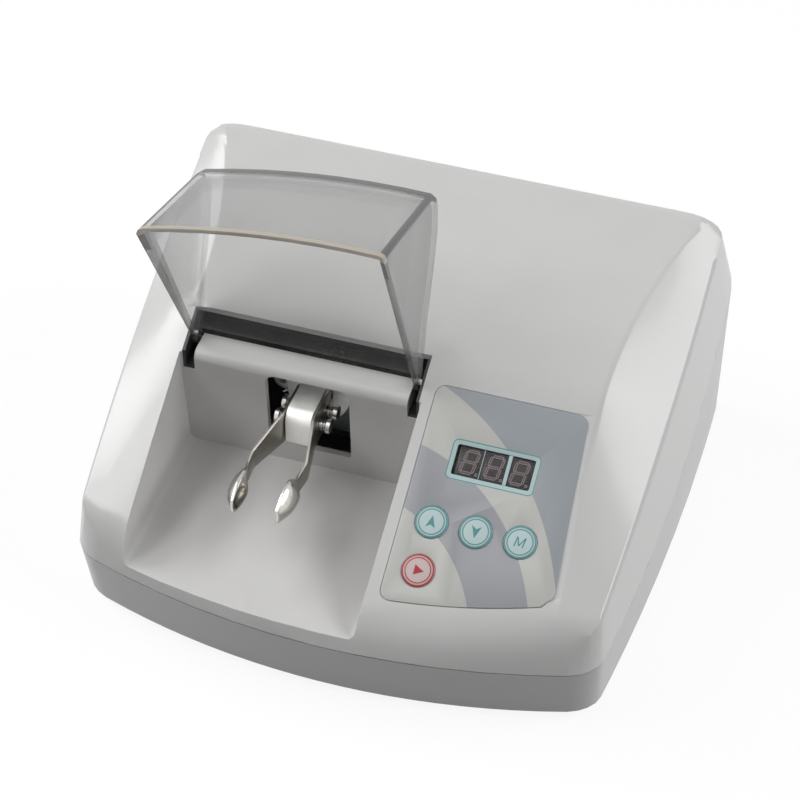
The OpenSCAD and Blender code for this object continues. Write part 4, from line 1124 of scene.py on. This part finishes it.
class AMALGAMATOR_OT_stage(bpy.types.Operator):
    """Pale floor, soft studio light and the camera"""
    bl_idname = "amalgamator.stage"
    bl_label = "Stage"

    def execute(self, context):
        deselect_all()
        bpy.ops.mesh.primitive_plane_add(size=FLOOR_SIZE, location=(0, 0, -FLOOR_GAP))
        floor = bpy.context.object
        floor.name = "floor"
        floor.data.materials.append(self.floor_finish())
        self.world(context)
        for name, (place, width, height, power) in LAMPS.items():
            self.lamp(name, Vector(place), width, height, power)
        camera = bpy.data.objects.new("camera", bpy.data.cameras.new("camera"))
        context.scene.collection.objects.link(camera)
        camera.matrix_world = Matrix((CAMERA_RIGHT, CAMERA_UP, CAMERA_BACK)).transposed().to_4x4()
        camera.matrix_world.translation = CAMERA_PLACE
        camera.data.lens = CAMERA_LENS
        camera.data.sensor_width = 36
        camera.data.clip_start = 0.01
        context.scene.camera = camera
        context.scene.view_settings.view_transform = "Standard"
        return {"FINISHED"}

    def lamp(self, name, place, width, height, power):
        """A soft oblong lamp that looks at the machine."""
        light = bpy.data.lights.new(name, "AREA")
        light.shape = "RECTANGLE"
        light.size = width
        light.size_y = height
        light.energy = power
        lamp = bpy.data.objects.new(name, light)
        lamp.location = place
        lamp.rotation_euler = (LAMP_TARGET - place).to_track_quat("-Z", "Y").to_euler()
        bpy.context.scene.collection.objects.link(lamp)

    def seen_white(self, tree):
        """1 where a ray comes from the camera, a mirror or clear plastic."""
        path = put(tree, "ShaderNodeLightPath").outputs
        return most(tree, path["Is Glossy Ray"], path["Is Transmission Ray"], path["Is Camera Ray"])

    def floor_finish(self):
        """Matt white that keeps a soft shadow."""
        finish, tree, shader = new_material("Floor")
        shader.inputs["Base Color"].default_value = (0.5, 0.5, 0.5, 1)
        shader.inputs["Roughness"].default_value = 0.9
        shader.inputs["Specular IOR Level"].default_value = 0.0
        glow = put(tree, "ShaderNodeEmission", {"Color": (1, 1, 1, 1), "Strength": 1.2})
        seen = times(tree, self.seen_white(tree), 0.75)
        mixed = put(tree, "ShaderNodeMixShader", {0: seen, 1: shader.outputs[0], 2: glow.outputs[0]})
        tree.links.new(mixed.outputs[0], tree.nodes["Material Output"].inputs[0])
        return finish

    def world(self, context):
        """An even grey sky that the camera sees as white."""
        world = bpy.data.worlds.new("Studio")
        context.scene.world = world
        world.use_nodes = True
        tree = world.node_tree
        strength = ramp(tree, self.seen_white(tree), 0.0, 1.0, SKY_LIGHT, 1.0)
        tree.links.new(strength, tree.nodes["Background"].inputs["Strength"])
        tree.nodes["Background"].inputs["Color"].default_value = (1, 1, 1, 1)


class AMALGAMATOR_PT_panel(bpy.types.Panel):
    """The pieces of the amalgamator"""
    bl_idname = "AMALGAMATOR_PT_panel"
    bl_label = "Amalgamator"
    bl_space_type = "VIEW_3D"
    bl_region_type = "UI"
    bl_category = "Amalgamator"

    def draw(self, context):
        layout = self.layout
        for group in (context.scene.amalgamator_sizes, context.scene.amalgamator_colours):
            for name in group.__annotations__:
                layout.prop(group, name)
        for operator in OPERATORS:
            layout.operator(operator.bl_idname)


OPERATORS = (AMALGAMATOR_OT_mouldings, AMALGAMATOR_OT_underside, AMALGAMATOR_OT_lid, AMALGAMATOR_OT_overlay,
             AMALGAMATOR_OT_digits, AMALGAMATOR_OT_keys, AMALGAMATOR_OT_fork, AMALGAMATOR_OT_rocker,
             AMALGAMATOR_OT_drive, AMALGAMATOR_OT_back, AMALGAMATOR_OT_stage)
CLASSES = (AmalgamatorSizes, AmalgamatorColours) + OPERATORS + (AMALGAMATOR_PT_panel,)


def register():
    """Registers the classes and the scene's settings."""
    for each in CLASSES:
        bpy.utils.register_class(each)
    bpy.types.Scene.amalgamator_sizes = bpy.props.PointerProperty(type=AmalgamatorSizes)
    bpy.types.Scene.amalgamator_colours = bpy.props.PointerProperty(type=AmalgamatorColours)


def unregister():
    """Takes them back."""
    del bpy.types.Scene.amalgamator_colours
    del bpy.types.Scene.amalgamator_sizes
    for each in reversed(CLASSES):
        bpy.utils.unregister_class(each)


def main():
    """Builds every piece."""
    register()
    for operator in OPERATORS:
        area, name = operator.bl_idname.split(".")
        getattr(getattr(bpy.ops, area), name)()
    deselect_all()


if __name__ == "__main__":
    main()
